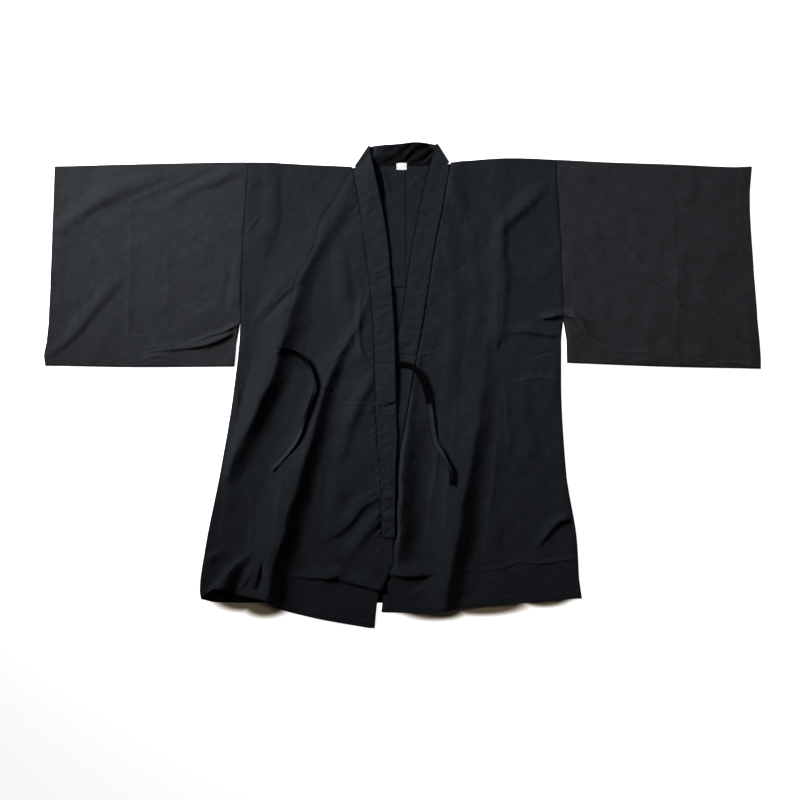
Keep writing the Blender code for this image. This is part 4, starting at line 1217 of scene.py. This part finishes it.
def slab_mesh(name, rows, shares, width, thickness, raised=None, shade=None):
    """Folded strip of cloth with round edges along the rows of points down its middle."""
    rows = np.array(rows)
    along = np.gradient(rows, axis=0)
    across = np.gradient(rows, axis=1)
    normal = np.cross(across, along)
    normal /= np.linalg.norm(normal, axis=2)[..., None]
    half = (thickness / 2 * edge_round(shares, width, thickness))[None, :, None]
    lift = np.zeros(rows.shape[:2]) if raised is None else raised
    upper = rows + normal * (half + lift[..., None])
    under = rows - normal * half
    ring = np.concatenate([upper, under[:, -2:0:-1]], axis=1)
    count = ring.shape[1]
    sections = ring.shape[0]
    number = np.arange(sections * count).reshape(sections, count)
    following = np.roll(number, -1, axis=1)
    cells = np.stack([number[:-1], following[:-1], following[1:], number[1:]], axis=-1)
    faces = cells.reshape(-1, 4).tolist()
    last = len(shares) - 1
    for row, flip in ((0, True), (sections - 1, False)):
        for k in range(last):
            lower = [number[row, (count - k) % count], number[row, count - k - 1]]
            upper_pair = [number[row, k + 1], number[row, k]]
            cell = [upper_pair[1], upper_pair[0], lower[1], lower[0]]
            cell = list(dict.fromkeys(int(corner) for corner in cell))
            if len(cell) > 2:
                faces.append(cell if flip else cell[::-1])
    mesh = bpy.data.meshes.new(name)
    mesh.from_pydata((ring.reshape(-1, 3) * MM).tolist(), [], faces)
    steps = np.linalg.norm(np.diff(rows[:, len(shares) // 2], axis=0), axis=1)
    lengths = np.concatenate([[0], np.cumsum(steps)])
    around = np.concatenate([shares, 2 - shares[-2:0:-1]]) * width
    flat = np.stack(np.meshgrid(around, lengths), axis=-1).reshape(-1, 2) * MM
    # Painted shade round the strip's rounded edges, with any more painted shade that is given
    rim = RIM_SHADE * (1 - edge_round(shares, width, 2 * thickness))
    dark = np.tile(rim, (sections, 1))
    if shade is not None:
        dark = dark + shade
    mark_cloth(mesh, flat, -np.concatenate([dark, dark[:, -2:0:-1]], axis=1).ravel())
    return mesh


def outward_slab(name, rows, shares, width, thickness, material, raised=None, shade=None):
    """Piece of a folded strip whose faces all point outwards."""
    mesh = slab_mesh(name, rows, shares, width, thickness, raised, shade)
    piece = add_piece(name, mesh, material)
    mesh.shade_smooth()
    volume = sum(face.center.dot(face.normal) * face.area for face in mesh.polygons)
    if volume < 0:
        mesh.flip_normals()
    mesh.set_sharp_from_angle(angle=np.radians(SHARP_BAND))
    return piece


def band_lift(side, y, shares):
    """Puckers across the band at a place along its seam."""
    lift = BAND_UNEVEN * ripple(shares * 26, np.full(len(shares), y), 17, BAND_SEED[side])
    for pucker in BAND_PUCKERS[side]:
        along = np.clip(abs(y - pucker.y + 4 * np.sin(shares * 5 + pucker.y)) / pucker.reach, 0, 1)
        within = ease((shares - pucker.start) / 0.15) * ease((pucker.end - shares) / 0.15)
        lift = lift + PUCKER_STRENGTH * pucker.rise * round_profile(along) * within
    return lift * ease(shares / 0.06) * ease((1 - shares) / 0.06)


def band_rows(side, low, high, shares):
    """Rows across the band on a front, and the puckers of each."""
    rows = []
    lifts = []
    for y in np.linspace(low, high, int((high - low) / BAND_STEP) + 2):
        x = float(band_seam[side](y))
        z = float(front_main(side, x, y)[0]) + BAND_LIFT
        y_free = float(free_level[side](y))
        seam = np.array([x, y, z])
        free = np.array([float(band_free[side](y_free)), y_free, z + float(free_tilt[side](y))])
        rows.append(mix(seam, free, shares[:, None]))
        lifts.append(band_lift(side, y, shares))
    return rows, lifts


def collar_turn(side, shares):
    """Rows at the slanting fold where the band turns from a front to the back of the neck."""
    seam = COLLAR_FOLD[side]["seam"]
    free = COLLAR_FOLD[side]["free"]
    slant = np.array([free.x - seam.x, free.y - seam.y])
    outward = np.array([-slant[1], slant[0]]) * -SIGN[side] / np.hypot(*slant)
    across = shares[:, None]
    low = mix(np.array([*seam, COLLAR_LEVEL]), np.array([*free, COLLAR_LEVEL + 1]), across)
    high = mix(np.array([*seam, FOLD_LEVEL["seam"]]), np.array([*free, FOLD_LEVEL["free"]]), across)
    turns = [half_turn(below, above, outward, COLLAR_TURN_STEPS) for below, above in zip(low, high)]
    between = [np.array([points[k] for points in turns]) for k in range(COLLAR_TURN_STEPS)]
    return [low, *between, high]


def back_of_neck(shares):
    """Rows of the band behind the neck, with the wrinkles and painted shade on its inner face."""
    seam_x = np.array([section.seam for section in BACK_SECTIONS], dtype=float)
    steps = np.linspace(seam_x[0], seam_x[-1], NECK_ROWS)
    free_x = np.interp(steps, seam_x, [section.free for section in BACK_SECTIONS])
    tilt = np.interp(steps, seam_x, [section.tilt for section in BACK_SECTIONS])
    rows = []
    shades = []
    for x_seam, x_free, lean in zip(steps, free_x, tilt):
        seam = np.array([x_seam, float(neck_seam(x_seam)) - SEAM_LAP, COLLAR_LEVEL])
        free = np.array([x_free, float(collar_top(x_free)), COLLAR_LEVEL + lean])
        row = mix(seam, free, shares[:, None])
        x, y = row[:, 0], row[:, 1]
        slant = x * 0.75 - (y - 421) * 1.1 + 2.4 * ripple(x, y, 34, 93)
        wave = np.sin(slant / 3.3) * (0.5 + 1.5 * ease((x + 34) / 50))
        broad = 3.6 * np.exp(-((y - 441 - 0.12 * x) / 7) ** 2) * ease((30 - x) / 50)
        held = ease(shares / 0.2) * ease((1 - shares) / 0.12)
        row[:, 2] += (wave + broad) * held
        rows.append(row)
        # Painted shade on the inner face behind the neck
        shades.append(np.full(len(shares), NECK_SHADE) * ease((68 - abs(x_seam)) / 10))
    return rows, shades


def free_edge_shade(shares, width):
    """Painted shade along the folded edge of the band."""
    return FREE_SHADE * (1 - ease((1 - shares) * width / FREE_WIDTH))


def make_collar(material):
    """Middle length of the band, up one front, round the neck and down the other."""
    shares = slab_shares(COLLAR_WIDTH, BAND_CLOTH, BAND_CROSS_STEP)
    folded = free_edge_shade(shares, COLLAR_WIDTH)
    rows = []
    lifts = []
    shades = []
    for side in ("right", "left"):
        front, puckers = band_rows(side, BAND_JOIN[side], BAND_SECTIONS[side][-1].seam, shares)
        turn = collar_turn(side, shares)
        flat = [np.zeros(len(shares))] * len(turn)
        if side == "right":
            behind, shaded = back_of_neck(shares)
            rows += [*front, *reversed(turn), *behind]
            lifts += [*puckers, *flat, *[np.zeros(len(shares))] * len(behind)]
            shades += [*[folded] * (len(front) + len(turn)), *shaded]
        else:
            rows += [*turn, *reversed(front)]
            lifts += [*flat, *reversed(puckers)]
            shades += [folded] * (len(turn) + len(front))
    return outward_slab("cloth_collar", rows, shares, COLLAR_WIDTH, BAND_CLOTH, material,
                        np.array(lifts), np.array(shades))


def make_band(side, material):
    """Lower length of the band on one front."""
    shares = slab_shares(BAND_WIDTH, BAND_CLOTH, BAND_CROSS_STEP)
    rows, lifts = band_rows(side, BAND_END[side], BAND_JOIN[side], shares)
    y = np.array(rows)[..., 1]
    # Painted shade along both ends of the band and, with the next line, along its folded edge
    ends = END_SHADE * edge_shade(y - BAND_END[side], 1.6 * (BAND_JOIN[side] - y))
    shade = np.maximum(ends, free_edge_shade(shares, BAND_WIDTH))
    return outward_slab("cloth_band_" + side, rows, shares, BAND_WIDTH, BAND_CLOTH, material,
                        np.array(lifts), shade)


def make_lining(side, material):
    """Half of the lining inside the back of the neck, with its lower edge turned up."""
    shares = np.linspace(0, 1, LINING_COLUMNS)
    rows = []
    for down in np.linspace(0, 1, LINING_ROWS):
        y = mix(LINING_TOP.y, LINING_BOTTOM.y, down)
        outer = SIGN[side] * mix(LINING_TOP.x, LINING_BOTTOM.x, down)
        x = mix(LINING_CENTRE, outer, shares)
        rows.append(np.column_stack([x, np.full(len(x), y), np.zeros(len(x))]))
    grid = np.array(rows)
    x, y = grid[..., 0], grid[..., 1]
    away = ease(np.abs(x - LINING_CENTRE) / 5)
    wrinkles = sum(fold_rise(stations, x, y) for stations in LINING_FOLDS.values())
    turned = LINING_TURNED * ease((LINING_BOTTOM.y + LINING_HEM - y) / LINING_SLOPE)
    uneven = 0.3 + 0.45 * ripple(x, y, 40, 71) + 0.12 * ripple(x, y, 16, 72)
    grid[..., 2] = LINING_LAYER + turned + away * (uneven + wrinkles)
    # Painted shade along the lining's middle seam, its top and its turned-up lower edge
    line = edge_shade(1.6 * np.abs(x - LINING_CENTRE), 1.6 * (LINING_TOP.y - y),
                      1.2 * (y - LINING_BOTTOM.y))
    mesh = grid_mesh("cloth_lining_" + side, grid, line)
    piece = add_piece("cloth_lining_" + side, mesh, material)
    thicken(piece, LINING_CLOTH)
    dress(piece, "lining_cotton", "lining_" + side)
    return piece


def make_label(material):
    """Blank woven label at the middle of the neck seam."""
    shares = slab_shares(LABEL_SIZE.x, LABEL_CLOTH, LABEL_CROSS_STEP)
    rows = []
    for up in np.linspace(-0.5, 0.5, LABEL_ROWS):
        x = LABEL_CENTRE.x + (shares - 0.5) * LABEL_SIZE.x
        y = np.full(len(x), LABEL_CENTRE.y + up * LABEL_SIZE.y)
        z = LABEL_LEVEL + LABEL_WAVE * np.sin(up * 3.5 + 0.6) * np.cos((shares - 0.5) * 2.6)
        rows.append(np.column_stack([x, y, z]))
    piece = outward_slab("cloth_label", rows, shares, LABEL_SIZE.x, LABEL_CLOTH, material)
    return dress(piece, "label", "neck_label")


def top_of_front(side, x, y):
    """Height of the upper face of a front, or of its band on the band's side of the seam."""
    seam = band_seam[side](y)
    band_face = front_main(side, seam, y) + BAND_LIFT + BAND_CLOTH / 2
    cloth_face = front_main(side, x, y) + CLOTH / 2
    return np.where(SIGN[side] * (x - seam) > TIE_CLOTH, cloth_face, band_face)


def make_tie(side, material):
    """Narrow folded tape along its route over a front, rolled onto its edge in places."""
    path = smooth_path(TIE_ROUTES[side], TIE_STEPS)
    heading = np.gradient(path[:, :2], axis=0)
    heading /= np.linalg.norm(heading, axis=1)[:, None]
    sideways = np.column_stack([-heading[:, 1], heading[:, 0]])
    half = TIE_WIDTH / 2
    shares = slab_shares(TIE_WIDTH, TIE_CLOTH, TIE_CROSS_STEP)
    rows = []
    shades = []
    for (x, y, roll, shade), aside in zip(path, sideways):
        reach = np.array([-half, half])
        edges = top_of_front(side, x + aside[0] * reach, y + aside[1] * reach)
        lean = np.arctan2(edges[1] - edges[0], TIE_WIDTH) + np.radians(roll)
        step = np.array([*(aside * np.cos(lean)), np.sin(lean)]) * half
        places = np.linspace(-1.2, 1.2, 7)
        under = top_of_front(side, x + step[0] * places, y + step[1] * places) - step[2] * places
        middle = np.array([x, y, under.max() + TIE_CLOTH / 2 + TIE_CLEARANCE])
        rows.append(mix(middle - step, middle + step, shares[:, None]))
        inner = shares if side == "right" else 1 - shares
        # Painted shade on the tape's turned-up inner face, and painted shade along both its edges
        face = TIE_SHADE * shade * ease((inner - 0.1) / 0.1)
        edges = TIE_EDGE_SHADE * edge_shade(shares * TIE_WIDTH, (1 - shares) * TIE_WIDTH)
        shades.append(np.maximum(face, edges))
    piece = outward_slab("cloth_tie_" + side, rows, shares, TIE_WIDTH, TIE_CLOTH, material,
                         shade=np.array(shades))
    dress(piece, "tie_cotton", "tie_" + side)
    return piece


def make_stitch_tree():
    """Geometry nodes that lay stitches along lines, with named sizes."""
    tree, start, end = make_tree(
        "stitches_along_a_line", "GeometryNodeTree",
        [("Lines", "Geometry", None), ("Pitch", "Float", 0.004), ("Length", "Float", 0.0026),
         ("Thickness", "Float", 0.0007), ("Thread", "Material", None)],
        [("Stitches", "Geometry")])
    sizes = start.outputs
    curve = add_node(tree, "GeometryNodeMeshToCurve", {0: sizes["Lines"]})
    spaced = add_node(tree, "GeometryNodeResampleCurve",
                      {"Curve": curve.outputs[0], "Length": sizes["Pitch"]}, mode="LENGTH")
    stitch = add_node(tree, "GeometryNodeMeshUVSphere", {"Segments": 6, "Rings": 4, "Radius": 0.5})
    size = add_node(tree, "ShaderNodeCombineXYZ",
                    {0: sizes["Length"], 1: sizes["Thickness"], 2: sizes["Thickness"]})
    tangent = tree.nodes.new("GeometryNodeInputTangent")
    turn = add_node(tree, "FunctionNodeAlignRotationToVector", {"Vector": tangent.outputs[0]}, axis="X")
    place = add_node(tree, "GeometryNodeInstanceOnPoints", {
        "Points": spaced.outputs[0], "Instance": stitch.outputs[0], "Rotation": turn.outputs[0],
        "Scale": size.outputs[0]})
    real = add_node(tree, "GeometryNodeRealizeInstances", {0: place.outputs[0]})
    colour = add_node(tree, "GeometryNodeSetMaterial",
                      {"Geometry": real.outputs[0], "Material": sizes["Thread"]})
    tree.links.new(colour.outputs[0], end.inputs[0])
    return tree


def make_stitches(name, lines, tree, thread):
    """Piece with a row of stitches along each line of points in mm."""
    look = STITCHES[name]
    points = np.concatenate(lines) * MM
    edges = []
    first = 0
    for line in lines:
        edges += [(first + k, first + k + 1) for k in range(len(line) - 1)]
        first += len(line)
    mesh = bpy.data.meshes.new(name)
    mesh.from_pydata(points.tolist(), edges, [])
    piece = bpy.data.objects.new(name, mesh)
    bpy.context.scene.collection.objects.link(piece)
    nodes = piece.modifiers.new("stitches", "NODES")
    nodes.node_group = tree
    values = {"Pitch": look.pitch * MM, "Length": look.length * MM, "Thickness": look.thickness * MM,
              "Thread": thread}
    for socket in tree.interface.items_tree:
        if socket.in_out == "INPUT" and socket.name in values:
            nodes[socket.identifier] = values[socket.name]
    made = apply_modifiers(piece)
    made.shade_smooth()
    return dress(piece, look.slot)


def on_front(side, x, y):
    """Points of a row of stitches on the upper face of a front."""
    return np.column_stack([x, y, front_height(side, x, y) + CLOTH / 2 - STITCH_SINK])


def hem_line(side, depth, start, end):
    """Line on a front the given depth above its hem, between two places across it."""
    x = np.linspace(start, end, 160)
    return on_front(side, x, front_hem[side](x) + depth)


def body_stitch_lines():
    """Rows of stitches along the hems, the slits and the open front edge."""
    y = np.linspace(-300, -452, 60)
    edge = on_front("right", front_edge(y) - 5, y)
    y = np.linspace(-396, -452, 24)
    second = on_front("right", front_edge(y) - 10, y)
    y = np.linspace(-332, -392, 24)
    right_slit = on_front("right", side_edge["right"](y) + 5, y)
    y = np.linspace(-336, -396, 24)
    left_slit = on_front("left", side_edge["left"](y) - 5, y)
    return [hem_line("right", HEM_DEPTH - 2, -378, -62), hem_line("left", HEM_DEPTH - 2, -32, 332),
            edge, second, right_slit, left_slit]


def cuff_stitch_lines(side):
    """Blind stitches that hold the turned cuff."""
    y = np.linspace(CUFF_EDGE[side][0].y - 14, SLEEVE_LOW[side][0].y + 14, 120)
    x = cuff_edge[side](y) - SIGN[side] * (CUFF_DEPTH - 1)
    return np.column_stack([x, y, sleeve_height(side, x, y) + CLOTH / 2])


def label_stitch_lines():
    """Stitches down both ends of the label."""
    y = LABEL_CENTRE.y + np.linspace(-0.42, 0.42, 6) * LABEL_SIZE.y
    z = np.full(len(y), LABEL_LEVEL + LABEL_STITCH_LIFT)
    reach = LABEL_SIZE.x / 2 - 1.6
    return [np.column_stack([np.full(len(y), LABEL_CENTRE.x + way * reach), y, z]) for way in (-1, 1)]


def frayed_lines():
    """Loose threads along the cut end of the band on the right front."""
    lines = []
    end = BAND_END["right"]
    spots = np.random.default_rng(17)
    for x in np.linspace(float(band_seam["right"](end)) + 1, float(band_free["right"](end)) - 1, 26):
        lean, length = spots.uniform(-2, 2), spots.uniform(2, 5.5)
        down = np.linspace(0, 1, 4)
        z = float(front_main("right", x, end)[0]) + BAND_LIFT + 3 - 3 * down
        lines.append(np.column_stack([x + lean * down, end + 0.6 - length * down, z]))
    return lines


def lint_lines():
    """Specks of lint on the right sleeve, the left sleeve's seam and the left front."""
    lines = []
    for x, y in LINT:
        along = np.linspace(-0.5, 0.5, 4)
        if abs(x) > 300:
            z = sleeve_height("right" if x < 0 else "left", x + along, y + 0 * along)
        else:
            z = front_height("left", x + along, y + 0 * along)
        lines.append(np.column_stack([x + along, y + 0.8 * np.sin(2 * along), z + CLOTH / 2 + 0.2]))
    return lines


def tie_stitch_lines():
    """Stitches that hold the start of the right front's tie."""
    x = np.linspace(-243, -226, 12)
    y = 71 + 1.2 * np.sin(x)
    return [np.column_stack([x, y, front_height("right", x, y) + CLOTH / 2 + TIE_STITCH_LIFT])]


def painted_shadow_mask(tree, place, patch):
    """1 in the middle of an oval patch of painted shadow on the floor and 0 outside it."""
    shift = add_node(tree, "ShaderNodeMapping", {
        "Vector": place, "Location": (patch.x * MM, patch.y * MM, 0),
        "Scale": (patch.width * MM, patch.length * MM, 1)}, vector_type="TEXTURE")
    reach = add_node(tree, "ShaderNodeVectorMath", {0: shift.outputs[0]}, operation="LENGTH")
    fade = add_node(tree, "ShaderNodeMapRange", {
        "From Min": 0.55, "From Max": 1.0, "To Min": 1, "To Max": 0,
        "Value": reach.outputs["Value"]}, interpolation_type="SMOOTHSTEP")
    return fade.outputs[0]


def make_floor():
    """White floor, burnt out by the light and its own even glow, with painted shadows close under the
    hems.
    """
    material, tree, shader = plain_material("floor_white", FLOOR_COLOUR, 0.9)
    shader.inputs["Specular IOR Level"].default_value = 0
    place = tree.nodes.new("ShaderNodeTexCoord").outputs["Object"]
    dark = 0
    for patch in PAINTED_FLOOR_SHADOWS:
        dark = math_node(tree, "MAXIMUM", painted_shadow_mask(tree, place, patch), dark)
    lost = math_node(tree, "MULTIPLY", dark, FLOOR_GLOW - PAINTED_SHADOW_GLOW)
    tree.links.new(math_node(tree, "SUBTRACT", FLOOR_GLOW, lost), shader.inputs["Emission Strength"])
    tints = {"Base Color": (FLOOR_COLOUR, PAINTED_SHADOW_COLOUR), "Emission Color": ((1, 1, 1), PAINTED_SHADOW_TINT)}
    for socket, (lit, shaded) in tints.items():
        inputs = {"A": (*lit, 1), "B": (*shaded, 1), "Factor": dark}
        paint = add_node(tree, "ShaderNodeMix", inputs, data_type="RGBA")
        tree.links.new(paint.outputs["Result"], shader.inputs[socket])
    mesh = bpy.data.meshes.new("floor")
    corners = [(x * FLOOR_REACH, y * FLOOR_REACH, 0) for x, y in ((-1, -1), (1, -1), (1, 1), (-1, 1))]
    mesh.from_pydata(corners, [], [(0, 1, 2, 3)])
    floor = add_piece("floor", mesh, material)
    return floor


def make_camera():
    """Camera straight above the jacket."""
    data = bpy.data.cameras.new("camera")
    data.lens = VIEW_LENS
    data.sensor_width = SENSOR_WIDTH
    data.dof.use_dof = False
    data.clip_end = 50
    camera = bpy.data.objects.new("camera", data)
    distance = VIEW_WIDTH * MM * VIEW_LENS / SENSOR_WIDTH
    camera.location = (VIEW_CENTRE.x * MM, VIEW_CENTRE.y * MM, distance)
    bpy.context.scene.collection.objects.link(camera)
    bpy.context.scene.camera = camera


def make_lamp(name, lamp):
    """Square studio lamp that points at a place on the jacket."""
    data = bpy.data.lights.new(name, "AREA")
    data.energy = lamp.strength
    data.size = lamp.size
    data.spread = np.radians(lamp.spread)
    thing = bpy.data.objects.new(name, data)
    thing.location = lamp.place
    thing.rotation_euler = (Vector(lamp.aim) - Vector(lamp.place)).to_track_quat("-Z", "Y").to_euler()
    bpy.context.scene.collection.objects.link(thing)


def make_studio():
    """Low soft key from the upper left, a weaker lamp for the far sleeve and a dim sky."""
    for name, lamp in LAMPS.items():
        make_lamp(name, lamp)
    world = bpy.data.worlds.new("studio")
    world.use_nodes = True
    sky = world.node_tree.nodes["Background"]
    sky.inputs["Color"].default_value = SKY_COLOUR
    sky.inputs["Strength"].default_value = SKY_STRENGTH
    bpy.context.scene.world = world
    bpy.context.scene.view_settings.view_transform = "Standard"


make_camera()
shared = {"weave": make_weave_group(), "rub": make_painted_light_group()}
cottons = {name: make_cotton(name, look, shared) for name, look in COTTONS.items()}
for side_name in ("right", "left"):
    make_tie(side_name, cottons["tie_cotton"])
make_floor()
for side_name in ("right", "left"):
    make_body(side_name, cottons["body_cotton"])
    make_sleeve(side_name, cottons["sleeve_cotton"])
    dress(make_band(side_name, cottons["band_cotton"]), "band_cotton", "band_" + side_name)
    make_lining(side_name, cottons["lining_cotton"])
dress(make_collar(cottons["band_cotton"]), "band_cotton", "collar")
make_label(make_label_weave(shared))

stitch_tree = make_stitch_tree()
black_thread = make_thread("black_thread", THREAD_COLOUR)
lint_fibre = make_thread("lint_fibre", LINT_COLOUR)
make_stitches("hem_stitches", body_stitch_lines(), stitch_tree, black_thread)
make_stitches("tie_stitches", tie_stitch_lines(), stitch_tree, black_thread)
make_stitches("band_end_threads", frayed_lines(), stitch_tree, black_thread)
make_stitches("lint", lint_lines(), stitch_tree, lint_fibre)
cuffs = [cuff_stitch_lines("right"), cuff_stitch_lines("left")]
make_stitches("cuff_stitches", cuffs, stitch_tree, black_thread)
make_stitches("label_stitches", label_stitch_lines(), stitch_tree, black_thread)

make_studio()
